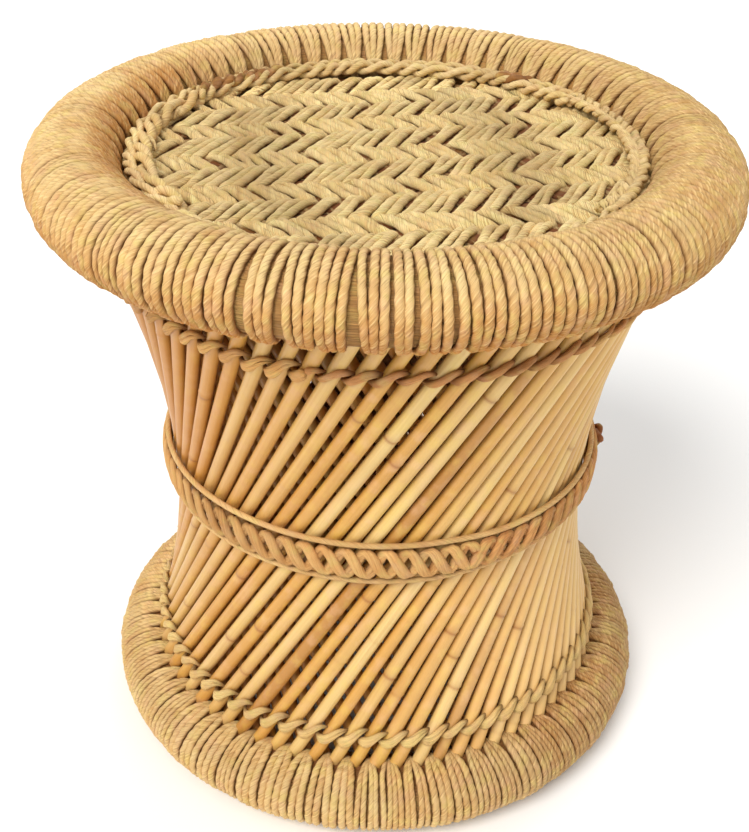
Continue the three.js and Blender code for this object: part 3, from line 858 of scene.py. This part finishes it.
class MUDDA_OT_rim_ropes(bpy.types.Operator):
    """Winds the straw rope round both rims, its turns drawn into one bundle between each two reeds"""

    bl_idname = "mudda.rim_ropes"
    bl_label = "Rim ropes"

    def execute(self, context):
        scene = context.scene
        colours = scene.mudda_colours
        shades = (colours.straw_light, colours.straw_dark, colours.straw_groove)
        for name, winding in WINDINGS.items():
            rim = Rim(scene, name)
            rope = rope_material(winding["material"], *shades, rim=rim)
            self.wind(rim, Drum(scene), rope, random.Random(winding["seed"]))
        return {"FINISHED"}

    def wind(self, rim, drum, material, rng):
        tuck_height = rim.centre - rim.away * rim.sizes.half_height
        reeds = REEDS_PER_LAYER // ROPE_LENGTHS
        for part in range(ROPE_LENGTHS):
            runs = []
            for number in range(part * reeds, (part + 1) * reeds):
                runs += self.bundle(rim, drum.gap(number, tuck_height), rng)
            names = (f"{rim.name}_rim_rope_{part + 1}", "straw_rope", f"{rim.name}_rim_winding")
            swept(*names, runs, rope_section(rim.sizes.rope, 0.86), material, rng, depth=rim.depth)

    def bundle(self, rim, gap, rng):
        """The turns that pass through one gap between two reeds."""
        turns_per_gap = rim.winding["turns_per_gap"]
        whole = int(turns_per_gap)
        count = whole + (rng.random() < turns_per_gap - whole)
        outer_radius = rim.sizes.radius + rim.sizes.half_width
        spacing = REED_PITCH * outer_radius / count * rng.uniform(0.96, 0.99)
        thick = min(1.25, spacing / rim.sizes.rope * rim.winding["snug"])
        turns = []
        for i in range(count):
            crest = (i - (count - 1) / 2) * spacing / outer_radius
            crest += rng.uniform(-0.25, 0.25) * MM / outer_radius
            aside, squeeze = self.parted(gap + crest, rim.winding["openings"], outer_radius)
            size = thick * rng.uniform(0.93, 1.03) * (1 - squeeze)
            turns.append(self.turn(rim, gap, crest, aside, size, rng))
        return turns

    def parted(self, azimuth, openings, radius):
        """How far the openings push a turn aside, as an angle, and how much they squeeze it."""
        aside, squeeze = 0.0, 0.0
        for degrees, width in openings:
            away = math.remainder(azimuth - FRONT - math.radians(degrees), TURN)
            near = max(0.0, 1 - abs(away) / (1.4 * REED_PITCH))
            aside += math.copysign(width * MM / 2 / radius * near, away)
            squeeze += 0.02 * width * near
        return aside, min(0.12, squeeze)

    def turn(self, rim, gap, crest, aside, thick, rng):
        """One turn, drawn in towards the gap at both ends, which are tucked in between the reeds."""
        sizes, winding = rim.sizes, rim.winding
        first, last = (math.radians(lip) for lip in winding["lips"])
        outer_start, inner_start, inner_end = (math.radians(start) for start in winding["starts"])
        step = sizes.lay / STEPS_PER_LAY
        steps = round((last - first) * (sizes.half_width + sizes.half_height) / 2 / step)
        sway = rng.uniform(-0.9, 0.9) * MM / sizes.radius
        sway_phase = rng.uniform(0, TURN)
        inset = sizes.rope / 2 - rng.uniform(-0.25, 0.12) * MM
        points, widths = [], []
        for i in range(steps + 1):
            angle = first + (last - first) * i / steps
            to_lip = max(0.0, (outer_start - angle) / (outer_start - first))
            inside = min(1.0, max(0.0, (angle - inner_start) / (inner_end - inner_start)))
            drawn = winding["outer_draw"] * to_lip**1.4 + winding["inner_draw"] * inside**1.4
            azimuth = gap + crest * (1 - drawn) + sway * math.sin(angle * 1.3 + sway_phase)
            azimuth += aside * max(0.0, math.cos(0.85 * (angle + 0.3)))
            place = rim.point(angle, azimuth, inset)
            if rim.away < 0:
                place.z = max(place.z, sizes.rope / 2)
            inward = 0.5 - 0.5 * math.cos(angle)
            points.append(place)
            widths.append(thick * (1 - 0.1 * inward) * (1 - 0.22 * drawn))
        tucks = [
            rim.point(lip + TUCK_ANGLE * k, gap + crest * 0.4, sizes.rope / 2 + abs(k) * TUCK_DEPTH)
            for lip, k in ((first, -2), (first, -1), (last, 1), (last, 2))
        ]
        points = tucks[:2] + points + tucks[2:]
        widths = [0.0, 0.8 * widths[0], *widths, 0.8 * widths[-1], 0.0]
        return twisted(points, sizes.lay, rng.uniform(0, TURN), widths)


# The seat

FIRST_ROW = 24 * MM  # how far behind the stool's middle the middle of a rising row runs
SEAT_LAY = 18 * MM
STEPS_PER_PAIR = 12  # points of a rope over one stitch of its row
POINTED = 0.55  # how much of a stitch's way across its row is a straight stroke, the rest being a wave
FLAT_TOP = 0.34  # 1 would be a round wave up and down, and 0 a step
SHORTER_AT_BACK = 10.5 * MM


class Weave:
    """The seat's rows, woven along a slant across the stool."""

    def __init__(self, sizes):
        self.sizes = sizes
        self.middle = sizes.top - sizes.thickness / 2
        self.period = sizes.rising_row + sizes.falling_row

    def depth(self, x, y, z):
        """How close a place is to the middle of the weave, where little light comes."""
        return 1.2 - np.abs(z - self.middle) / (2.4 * MM)

    def place(self, along, across, z):
        """A place on the seat, from its distances along and across the rows. The rows waver a little."""
        across += 2.0 * MM * math.sin(along / (52 * MM) + across / (80 * MM))
        along += 1.5 * MM * math.sin(across / (31 * MM))
        cosine, sine = math.cos(self.sizes.row_turn), math.sin(self.sizes.row_turn)
        return Vector((along * cosine - across * sine, along * sine + across * cosine, z))

    def row(self, centre, width, way, pairs, shift, rng):
        """Pairs of ropes that wind round one row, like a cable pressed flat, one stitch after another.

        The stitches of the next row start where these end, so that they meet in points."""
        seat = self.sizes
        reach = width / 2 + 2.6 * MM - seat.strand / 2
        rise = seat.thickness / 2 - seat.strand / 2
        pitch = pairs * seat.stitch
        half = seat.radius + 20 * MM
        steps = STEPS_PER_PAIR * pairs
        runs = []
        shift += rng.uniform(-1, 1) * MM
        for pair in range(pairs):
            late = rng.uniform(-1.3, 1.3) * MM
            for strand in (-0.5, 0.5):
                points, sizes = [], []
                wobbles = [rng.uniform(0, TURN) for _ in range(4)]
                for i in range(round((2 * half / pitch + 1) * steps)):
                    phase = i / steps * TURN
                    along = -half - pitch + shift + late + pitch * (i / steps + pair / pairs)
                    along += strand * seat.strand * (0.9 + 0.14 * math.sin(phase / 1.9 + wobbles[3]))
                    along += 1.3 * MM * math.sin(phase / 1.7 + wobbles[0])
                    along += 0.7 * MM * math.sin(phase / 0.7 + wobbles[1])
                    straight = 2 * abs(phase / math.pi % 2 - 1) - 1
                    side = (1 - POINTED) * math.cos(phase) + POINTED * straight
                    across = centre - way * reach * side * (1 + 0.06 * math.sin(phase / 2.3 + wobbles[2]))
                    lift = math.copysign(abs(math.sin(phase)) ** FLAT_TOP, math.sin(phase))
                    lift *= 1 + 0.12 * math.sin(phase * 0.83 + wobbles[3])
                    place = self.place(along, across, self.middle + rise * lift)
                    if math.hypot(place.x, place.y) < self.edge(place.y):
                        points.append(place)
                        thinner = 0.07 * abs(math.sin(phase))
                        sizes.append(1.0 + 0.12 * math.sin(phase / 1.3 + wobbles[1]) - thinner)
                    elif points:
                        runs += self.closed_ends(points, sizes, rng)
                        points, sizes = [], []
                runs += self.closed_ends(points, sizes, rng)
        return runs

    def edge(self, y):
        """How far out the rows reach. At the back they end earlier, behind the border."""
        return self.sizes.radius + 1.5 * MM - SHORTER_AT_BACK * ease((y - 90 * MM) / (40 * MM))

    def core(self, across):
        """The flat strip of straws inside a row, seen in shade through the slots between the stitches."""
        points = []
        for i in range(61):
            place = self.place((i / 30 - 1) * self.sizes.radius, across, self.middle - 0.4 * MM)
            if math.hypot(place.x, place.y) < self.sizes.radius - 3 * MM:
                points.append(place)
        if len(points) < 4:
            return []
        return [(place, 0.0, 0.0 if i in (0, len(points) - 1) else 1.0) for i, place in enumerate(points)]

    def closed_ends(self, points, sizes, rng):
        """The run of rope through these points, unless it is too short."""
        if len(points) < 12:
            return []
        sizes = [0.0, 0.85 * sizes[1]] + sizes[2:-2] + [0.85 * sizes[-2], 0.0]
        return [twisted(points, SEAT_LAY, rng.uniform(0, TURN), sizes)]


def in_full_shade(x, y, z):
    return np.ones_like(x)


class MUDDA_OT_seat(bpy.types.Operator):
    """Weaves the seat: rows of pairs of ropes that wind over and under, each row against its neighbour"""

    bl_idname = "mudda.seat"
    bl_label = "Seat weave"

    def execute(self, context):
        seat, colours = context.scene.mudda_seat, context.scene.mudda_colours
        weave = Weave(seat)
        rng = random.Random(21)
        rope = straw("twisted_straw_seat_rope", colours, crease=0.28, fibre_share=2.0)
        row_count = math.ceil(seat.radius / weave.period) + 1
        rising, falling = [], []
        for row in range(-row_count, row_count):
            centre = FIRST_ROW + row * weave.period
            along = row * seat.stitch / 2
            rising += weave.row(centre, seat.rising_row, 1, 3, along, rng)
            centre += weave.period / 2
            falling += weave.row(centre, seat.falling_row, -1, 2, along + seat.stitch / 2, rng)
        cores = [weave.core((row - 0.5) * weave.period / 2) for row in range(-2 * row_count, 2 * row_count)]
        cores = [core for core in cores if core]
        flat = section(weave.period / 2 - 1 * MM, 1.6 * MM)
        shaded = straw("straw_in_deep_shade", colours)
        web = ("seat_rope", "seat_web")
        swept("seat_row_cores", *web, cores, flat, shaded, rng, level=True, depth=in_full_shade)
        for name, runs in (("seat_rows_leaning_right", rising), ("seat_rows_leaning_left", falling)):
            swept(name, *web, runs, rope_section(seat.strand, 0.88), rope, rng, depth=weave.depth)
        return {"FINISHED"}


# The border of the seat

# Cords of two ropes along the edge of the seat: azimuths in degrees where one starts and ends, and in mm its
# inset from the edge, its height over the border's foot or under its top where negative, how far its ropes
# go out from their middle, and the length of one twist. The last value is the share of a rope's thickness
OUTER_CORDS = (
    (32.4, 149.4, 4.2, -3.0, 1.7, 20, 1.0),
    (147.6, 224.1, 4.4, -2.9, 2.0, 34, 1.1),
    (-136.8, -36, 4.2, -3.0, 1.7, 20, 1.0),
)
INNER_CORDS = (
    (147, 222, 11.5, 1.9, 3.045, 38, 1.45),
    (34, 149, 12.6, 1.9, 2.52, 24, 1.2),
)
STAINED_CORDS = (  # at the back, on the right and on the left
    (50, 60, 4, -2.6, 1.9, 17, 1.0),
    (50, 60, 11, 4.2, 1.7, 21, 1.15),
    (118, 147, 4, -2.6, 1.9, 17, 1.0),
    (118, 147, 11, 4.2, 1.7, 21, 1.15),
)
BORDER_LAY = 13 * MM
BORDER_STEP = 1.7 * MM
LOOSE_SHARES = (-1, -0.85, -0.6, -0.3, 0, 0.3, 0.6, 0.85, 1)  # of half a loose straw, from its middle
LOOSE_SIZES = (0.0, 0.8, 1.0, 1.1, 1.1, 1.1, 1.0, 0.8, 0.0)


class MUDDA_OT_seat_border(bpy.types.Operator):
    """Lays the cords, the flat braid and the loose straws that hide the edge of the seat"""

    bl_idname = "mudda.seat_border"
    bl_label = "Seat border"

    def execute(self, context):
        colours = context.scene.mudda_colours
        low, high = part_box("seat_border_plait")
        edge = high.x
        rope = straw("plaited_straw_border", colours)
        rng = random.Random(31)
        cords = [run for row in OUTER_CORDS for run in self.cord(low, high, *row, rng)]
        cords += self.braid(edge - 7 * MM, low.z + 3.2 * MM, math.radians(-38), math.radians(37), rng)
        cords += [run for row in INNER_CORDS for run in self.cord(low, high, *row, rng)]
        border = ("seat_rope", "seat_border_plait")
        swept("seat_border_cords", *border, cords, rope_section(4 * MM, 0.85), rope, rng)
        loose = [self.loose_straw(edge, low.z, math.radians(rng.uniform(145, 220)), rng) for _ in range(5)]
        swept("seat_border_loose_straws", *border, loose, rope_section(2.6 * MM, 0.85), rope, rng)
        stained = straw("straw_rope_stained_brown", colours)
        cords = [run for row in STAINED_CORDS for run in self.cord(low, high, *row, rng)]
        swept("seat_border_stained_rope", *border, cords, rope_section(4.2 * MM, 0.85), stained, rng)
        return {"FINISHED"}

    def cord(self, low, high, start, end, inset, height, orbit, pitch, share, rng):
        """Two ropes twisted round each other, that lie along the edge of the seat."""
        start, end = math.radians(start), math.radians(end)
        radius = high.x - inset * MM
        z = (high.z if height < 0 else low.z) + height * MM
        per_pitch = round(pitch * MM / BORDER_STEP)
        steps = round((end - start) * radius / (pitch * MM) * per_pitch)
        sways = [rng.uniform(0, TURN) for _ in range(4)]
        runs = []
        for rope in range(2):
            points = []
            for i in range(steps + 1):
                turn = start + (end - start) * i / steps
                phase = i / per_pitch * TURN + rope * math.pi
                phase += waver(turn, (0.9, 7, sways[0]), (0.6, 17, sways[1]))
                away = orbit * math.cos(phase) + waver(turn, (0.6, 9, sways[2]))
                up = orbit * math.sin(phase) + waver(turn, (0.4, 13, sways[3]))
                points.append(polar(radius + away * MM, turn, z + up * MM))
            sizes = [0.0, 0.8 * share] + [share] * (steps - 3) + [0.8 * share, 0.0]
            runs.append(twisted(points, BORDER_LAY, rng.uniform(0, TURN), sizes))
        return runs

    def braid(self, radius, z, start, end, rng):
        """Three pairs of straws plaited flat along the edge of the seat."""
        half_width, pitch, per_pitch, apart = 4.6 * MM, 23 * MM, 14, 2.4 * MM
        steps = round((end - start) * radius / pitch * per_pitch)
        sways = [rng.uniform(0, TURN) for _ in range(3)]
        runs = []
        for strand in range(3):
            for straw_side in (-0.5, 0.5):
                points = []
                for i in range(steps + 1):
                    turn = start + (end - start) * i / steps
                    phase = i / per_pitch * TURN + strand * TURN / 3 + waver(turn, (0.7, 9, sways[0]))
                    away = half_width * math.sin(phase) * (1 + waver(turn, (0.2, 11, sways[strand])))
                    up = 1.7 * MM * math.sin(2 * phase)
                    points.append(polar(radius + away, turn + straw_side * apart / radius, z + up))
                sizes = [0.0, 0.6] + [0.8] * (steps - 3) + [0.6, 0.0]
                runs.append(twisted(points, BORDER_LAY, rng.uniform(0, TURN), sizes))
        return runs

    def loose_straw(self, edge, z, azimuth, rng):
        """The end of a straw that lies over the edge of the weave."""
        middle = polar(edge - rng.uniform(8, 17) * MM, azimuth, z + rng.uniform(1, 2.4) * MM)
        heading = azimuth + math.pi / 2 + rng.uniform(-0.6, 0.6)
        half = rng.uniform(9, 15) * MM
        ahead = polar(1, heading, 0)
        points = []
        for share in LOOSE_SHARES:
            bend = rng.uniform(-0.3, 0.3) * MM
            sunk = Vector((0, 0, 3.5 * MM * share**4))
            points.append(middle + ahead * half * share - sunk + Vector((-ahead.y, ahead.x, 0)) * bend)
        return twisted(points, 16 * MM, rng.uniform(0, TURN), LOOSE_SIZES)


# The twinings

# How each pair of cords is twined, in mm: the height of its stitches over where the cords run, and how much
# higher those at its left end are, how far a cord's two straws part over a reed, the thickness of the
# stitches, how they slant and sag, and a straw's own thickness. Waist is that of the straw's outline. A
# lower hold keeps a cord in front of the reed for longer. Taper is how much thinner a stitch is at its right
TWININGS = {
    "upper_twining_straws": {
        "over": 3.6, "higher": 4.4, "spread": 2.8, "thickness": 2.2, "slant": 4.8, "sag": -0.6,
        "straw": 3.9, "waist": 0.86, "hold": 0.26, "taper": 1.0,
    },
    "upper_twining_cords": {
        "over": 3, "higher": 0, "spread": 1.8, "thickness": 2.4, "slant": 3.2, "sag": -1.9,
        "straw": 3.5, "waist": 0.78, "hold": 0.4, "taper": 0.5,
    },
    "lower_twining_straws": {
        "over": 0, "higher": 0, "spread": 2.4, "thickness": 2.4, "slant": 3.6, "sag": -0.6,
        "straw": 3.9, "waist": 0.86, "hold": 0.26, "taper": 1.0,
    },
}
POINTS_PER_REED = 10


class MUDDA_OT_twinings(bpy.types.Operator):
    """Twines a pair of cords through the reeds under the top rim, and another over the bottom rim"""

    bl_idname = "mudda.twinings"
    bl_label = "Twinings"

    def execute(self, context):
        cords, colours = context.scene.mudda_cords, context.scene.mudda_colours
        drum = Drum(context.scene)
        join = drum.reed_at(-11, CAD_HIGH.z - 78 * MM)
        golden = straw("flat_golden_straw", colours)
        self.twine(drum, "upper_twining_straws", cords.upper_twining, (join - 36, join), golden, 41)
        brown = straw("golden_brown_cord", colours)
        self.twine(drum, "upper_twining_cords", cords.upper_twining, (join, join + 36), brown, 43)
        self.binding(drum, cords.upper_twining - 5 * MM, straw("shaded_brown_straw", colours))
        pale = straw("flat_pale_straw", colours)
        self.twine(drum, "lower_twining_straws", cords.lower_twining, (0, REEDS_PER_LAYER), pale, 42)
        return {"FINISHED"}

    def binding(self, drum, z, material):
        """The flat binding inside the inner reeds, behind the upper twining."""
        layers_apart = drum.sizes.waist_radius - drum.sizes.inner_radius
        radius = drum.radius(z) - layers_apart - drum.sizes.inner_width / 2 - 4 * MM
        run = [(polar(radius, i / 120 * TURN, z), 0.0, 1.0) for i in range(120)]
        names = ("upper_binding_inside", "golden_cord", "upper_twining")
        swept(*names, [run], section(3 * MM, 24 * MM), material, random.Random(45), True, True)

    def twine(self, drum, name, height, reeds, material, seed):
        """Two cords that pass before and behind the reeds by turns, and cross in the gap between two reeds.

        Reeds are the numbers of the first and the last. Each cord is a pair of straws, which part over a
        reed and give the stitch its leaf shape."""
        stitch = TWININGS[name]
        whole = reeds[1] - reeds[0] == REEDS_PER_LAYER
        count = (reeds[1] - reeds[0]) * POINTS_PER_REED
        runs = []
        for cord in range(2):
            for side in (-0.5, 0.5):
                places = [reeds[0] + i / POINTS_PER_REED for i in range(count if whole else count + 1)]
                run = [self.stitch_point(drum, stitch, height, at, reeds[1], cord, side) for at in places]
                if not whole:
                    for end in (0, -1):
                        run[end] = (*run[end][:2], 0.0)
                runs.append(run)
        corners = rope_section(stitch["straw"] * MM, stitch["waist"])
        place = ("pale_straw", "lower_twining") if whole else ("golden_cord", "upper_twining")
        swept(name, *place, runs, corners, material, random.Random(seed), whole, True, drum.depth)

    def stitch_point(self, drum, stitch, height, reed, last, cord, side):
        """A point of a straw beside a reed, given as a number with a fraction, with its turn and its size."""
        phase = (reed - cord) * math.pi
        ahead = (math.cos(phase) + 1) / 2
        middle = height + (stitch["over"] + stitch["higher"] * ease((last - reed) / 8)) * MM
        z = stitch["slant"] * math.sin(phase) - stitch["sag"] * math.cos(phase)
        z += side * stitch["spread"] * ease(ahead)
        turn = reed * REED_PITCH
        z += waver(turn, (0.6, 19, side), (0.4, 7, cord), (0.7, 33, 2 * cord))
        z = middle + z * MM
        front = drum.face(z) + stitch["thickness"] * MM / 2
        behind = drum.radius(z) - drum.sizes.reed_width / 2
        azimuth = drum.sizes.first_outer + turn + drum.turn(middle)
        size = (0.45 + 0.55 * ease(ahead * 1.6)) * (1 - 0.3 * stitch["taper"] * math.sin(phase))
        size *= 1 + waver(turn, (0.1, 27, 3 * cord))
        radius = behind + (front - behind) * ahead ** stitch["hold"]
        return polar(radius, azimuth, z), reed * TURN / 6, size


# The band at the waist

STITCHES_ROUND = REEDS_PER_LAYER // 2  # whole waves of one strand round the waist
STEPS_PER_STITCH = 14
CORD_STEPS, CORD_LAYS = 600, 50  # points and twists of a waist cord, once round


def plait(radius, z, reach, lift, start, end, thickness, rng):
    """Two strands that wind flat round each other along the drum, from one azimuth to another.

    Each strand is two straws side by side. With a lift over 0, every stroke that falls to the right
    crosses the whole plait in front."""
    runs = []
    steps = round((end - start) / TURN * STITCHES_ROUND * STEPS_PER_STITCH)
    for strand in range(2):
        for side in (-0.5, 0.5):
            offset = side * thickness * 0.84
            wobbles = [rng.uniform(0, TURN) for _ in range(3)]
            run = []
            for i in range(steps + 1):
                turn = start + (end - start) * i / steps
                phase = turn * STITCHES_ROUND + strand * TURN / 2
                loose = waver(turn, *zip((1 / 3, 1 / 3, 1 / 3), (7, 17, 31), wobbles))
                up = reach * (math.sin(phase) * (1 - abs(loose) * 0.1) + loose * 0.08)
                left = ease((math.degrees(FRONT - turn) - 28) / 18)
                size = (1.0 - 0.22 * left) * (1 + 0.08 * loose) * (1 - 0.12 * abs(math.sin(phase)))
                azimuth = turn + offset * (0.6 + 0.05 * left if lift > 0 else 0.75) / radius
                place = polar(radius - lift * math.cos(phase), azimuth, z + up)
                run.append((place, turn * 40, 0.0 if i in (0, steps) else size))
            runs.append(run)
    return runs


class MUDDA_OT_waist_band(bpy.types.Operator):
    """Binds the waist: a plait between two thin cords, and the knot that ends them"""

    bl_idname = "mudda.waist_band"
    bl_label = "Waist band"

    def execute(self, context):
        cords, colours = context.scene.mudda_cords, context.scene.mudda_colours
        drum = Drum(context.scene)
        rng = random.Random(51)
        strand, lift, overlap = 5.0 * MM, 1.4 * MM, 0.03
        reach = (cords.plait_width - strand) / 2
        radius = drum.face(cords.band + reach) + strand / 2 + 1.2 * MM
        right, back = FRONT + math.radians(23), FRONT + math.radians(135)
        front = (back - TURN - 0.02, right + overlap)
        side = (right - overlap, back + 0.02)
        stitches = plait(radius, cords.band, reach, lift, *front, strand, rng)
        braid = plait(radius, cords.band - 0.5 * MM, reach - 0.4 * MM, -lift, *side, strand, rng)
        face = radius + lift + strand / 2

        def depth(x, y, z):
            return (face - np.hypot(x, y)) / (strand * 1.15)

        for name, runs, waist, finish in (
            ("waist_plait_stitches", stitches, 0.88, "golden_straw_cord"),
            ("waist_plait_braid", braid, 0.84, "golden_brown_plait"),
        ):
            names = (name, "golden_cord", "waist_plait")
            material = straw(finish, colours)
            swept(*names, runs, rope_section(strand, waist), material, rng, level=True, depth=depth)
        pale = straw("pale_waist_cord", colours)
        self.ring("waist_cord_above", "waist_upper_cord", -1.4 * MM, -2.4 * MM, drum, cords.waist_cord, pale)
        self.ring("waist_cord_below", "waist_lower_cord", 0.8 * MM, 1.2 * MM, drum, cords.waist_cord, pale)
        self.knot(colours)
        return {"FINISHED"}

    def ring(self, name, node, nearer, nearer_right, drum, thickness, material):
        """A cord beside the plait, which lies nearer to it than its solid, and nearer still on the right."""
        low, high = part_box(node)
        run = []
        for i in range(CORD_STEPS):
            turn = i / CORD_STEPS * TURN
            degrees = math.degrees(turn - FRONT) % 360
            right = ease((degrees - 14) / 20) if degrees < 150 else 0.0
            height = (low.z + high.z) / 2 + nearer + nearer_right * right + 0.5 * MM * math.sin(5 * turn)
            radius = drum.face(height) + thickness / 2 + 0.5 * MM
            run.append((polar(radius, turn, height), turn * CORD_LAYS, 1.0))
        corners = section(thickness, thickness)
        swept(name, "golden_cord", node, [run], corners, material, random.Random(52), closed=True)

    def knot(self, colours):
        """The cords' ends, tied in a half knot: a trefoil pulled tight."""
        tied = rope_material("knotted_cord_end", colours.knot, linear("6A3A1C"), colours.straw_groove)
        low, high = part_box("waist_knot")
        reach, steps = 3.6 * MM, 42
        run = []
        for i in range(steps):
            phase = i / steps * TURN
            out = -math.sin(3 * phase)
            side = math.sin(phase) + 2 * math.sin(2 * phase)
            rise = math.cos(phase) - 2 * math.cos(2 * phase)
            offset = Vector((out * reach * 0.5, side * reach * 0.6, rise * reach * 0.6))
            run.append(((low + high) / 2 + offset, 0.0, 1.0))
        names = ("waist_knot_tied", "dark_knot", "waist_knot")
        swept(*names, [run], section(4 * MM, 4 * MM), tied, random.Random(53), closed=True)


# The stage

CAMERA_PLACE = (0, -0.7153, 0.6673)
CAMERA_PITCH = math.radians(33.1)  # below level
CAMERA_ROLL = 0.023
FLOOR_RADIUS = 9


class MUDDA_OT_stage(bpy.types.Operator):
    """Sets the camera at the photograph's angle, a pale floor and soft light"""

    bl_idname = "mudda.stage"
    bl_label = "Stage"

    def execute(self, context):
        scene = context.scene
        bpy.ops.object.select_all(action="DESELECT")
        bpy.ops.object.camera_add(location=CAMERA_PLACE)
        camera = context.object
        camera.name = "camera"
        camera.matrix_world = (
            Matrix.Translation(camera.location)
            @ Matrix.Rotation(math.pi / 2 - CAMERA_PITCH, 4, "X")
            @ Matrix.Rotation(CAMERA_ROLL, 4, "Z")
        )
        camera.data.sensor_width = 36
        camera.data.lens = 56.2
        camera.data.shift_x = -0.0071
        scene.camera = camera

        bpy.ops.object.select_all(action="DESELECT")
        bpy.ops.mesh.primitive_circle_add(vertices=96, radius=FLOOR_RADIUS, fill_type="NGON")
        floor = context.object
        floor.name = "studio_floor"
        floor.data.materials.append(floor_material(scene.mudda_colours.floor))

        self.lamp("key", (-1.1, -1.6, 2.4), 32, 2.45, (1.0, 0.98, 0.95))
        self.lamp("back", (0.6, 1.6, 2.0), 40, 0.5, (1.0, 1.0, 1.0))
        world = bpy.data.worlds.new("studio")
        world.use_nodes = True
        background = world.node_tree.nodes["Background"].inputs
        background["Color"].default_value = (1, 1, 1, 1)
        background["Strength"].default_value = 0.68
        scene.world = world
        scene.view_settings.view_transform = "Standard"
        return {"FINISHED"}

    def lamp(self, name, place, spread, strength, shades):
        """A broad, even light from one side. Its spread in degrees gives the shadows their soft edge."""
        bpy.ops.object.select_all(action="DESELECT")
        bpy.ops.object.light_add(type="SUN", location=place)
        lamp = bpy.context.object
        lamp.name = name
        lamp.data.angle = math.radians(spread)
        lamp.data.energy = strength
        lamp.data.color = shades
        target = Vector((0, 0, CAD_HIGH.z / 2))
        lamp.rotation_euler = (target - Vector(place)).to_track_quat("-Z", "Y").to_euler()


# The sidebar

STEPS = (
    MUDDA_OT_stage,
    MUDDA_OT_reed_layers,
    MUDDA_OT_rim_cores,
    MUDDA_OT_rim_ropes,
    MUDDA_OT_seat,
    MUDDA_OT_seat_border,
    MUDDA_OT_twinings,
    MUDDA_OT_waist_band,
)


class MUDDA_PT_panel(bpy.types.Panel):
    """Lists the steps that model the stool, in order"""

    bl_idname = "MUDDA_PT_panel"
    bl_label = "Mudda stool"
    bl_space_type = "VIEW_3D"
    bl_region_type = "UI"
    bl_category = "Mudda"

    def draw(self, context):
        for step in STEPS:
            self.layout.operator(step.bl_idname, text=step.bl_label)


GROUPS = {
    "mudda_top_rim": TopRimSizes,
    "mudda_bottom_rim": BottomRimSizes,
    "mudda_drum": DrumSizes,
    "mudda_seat": SeatSizes,
    "mudda_cords": CordSizes,
    "mudda_colours": StoolColours,
}


def register():
    for name, group in GROUPS.items():
        bpy.utils.register_class(group)
        setattr(bpy.types.Scene, name, bpy.props.PointerProperty(type=group))
    for step in (*STEPS, MUDDA_PT_panel):
        bpy.utils.register_class(step)


def unregister():
    for step in (MUDDA_PT_panel, *reversed(STEPS)):
        bpy.utils.unregister_class(step)
    for name, group in reversed(GROUPS.items()):
        delattr(bpy.types.Scene, name)
        bpy.utils.unregister_class(group)


def main():
    register()
    for step in STEPS:
        package, name = step.bl_idname.split(".")
        getattr(getattr(bpy.ops, package), name)()


if __name__ == "__main__":
    main()
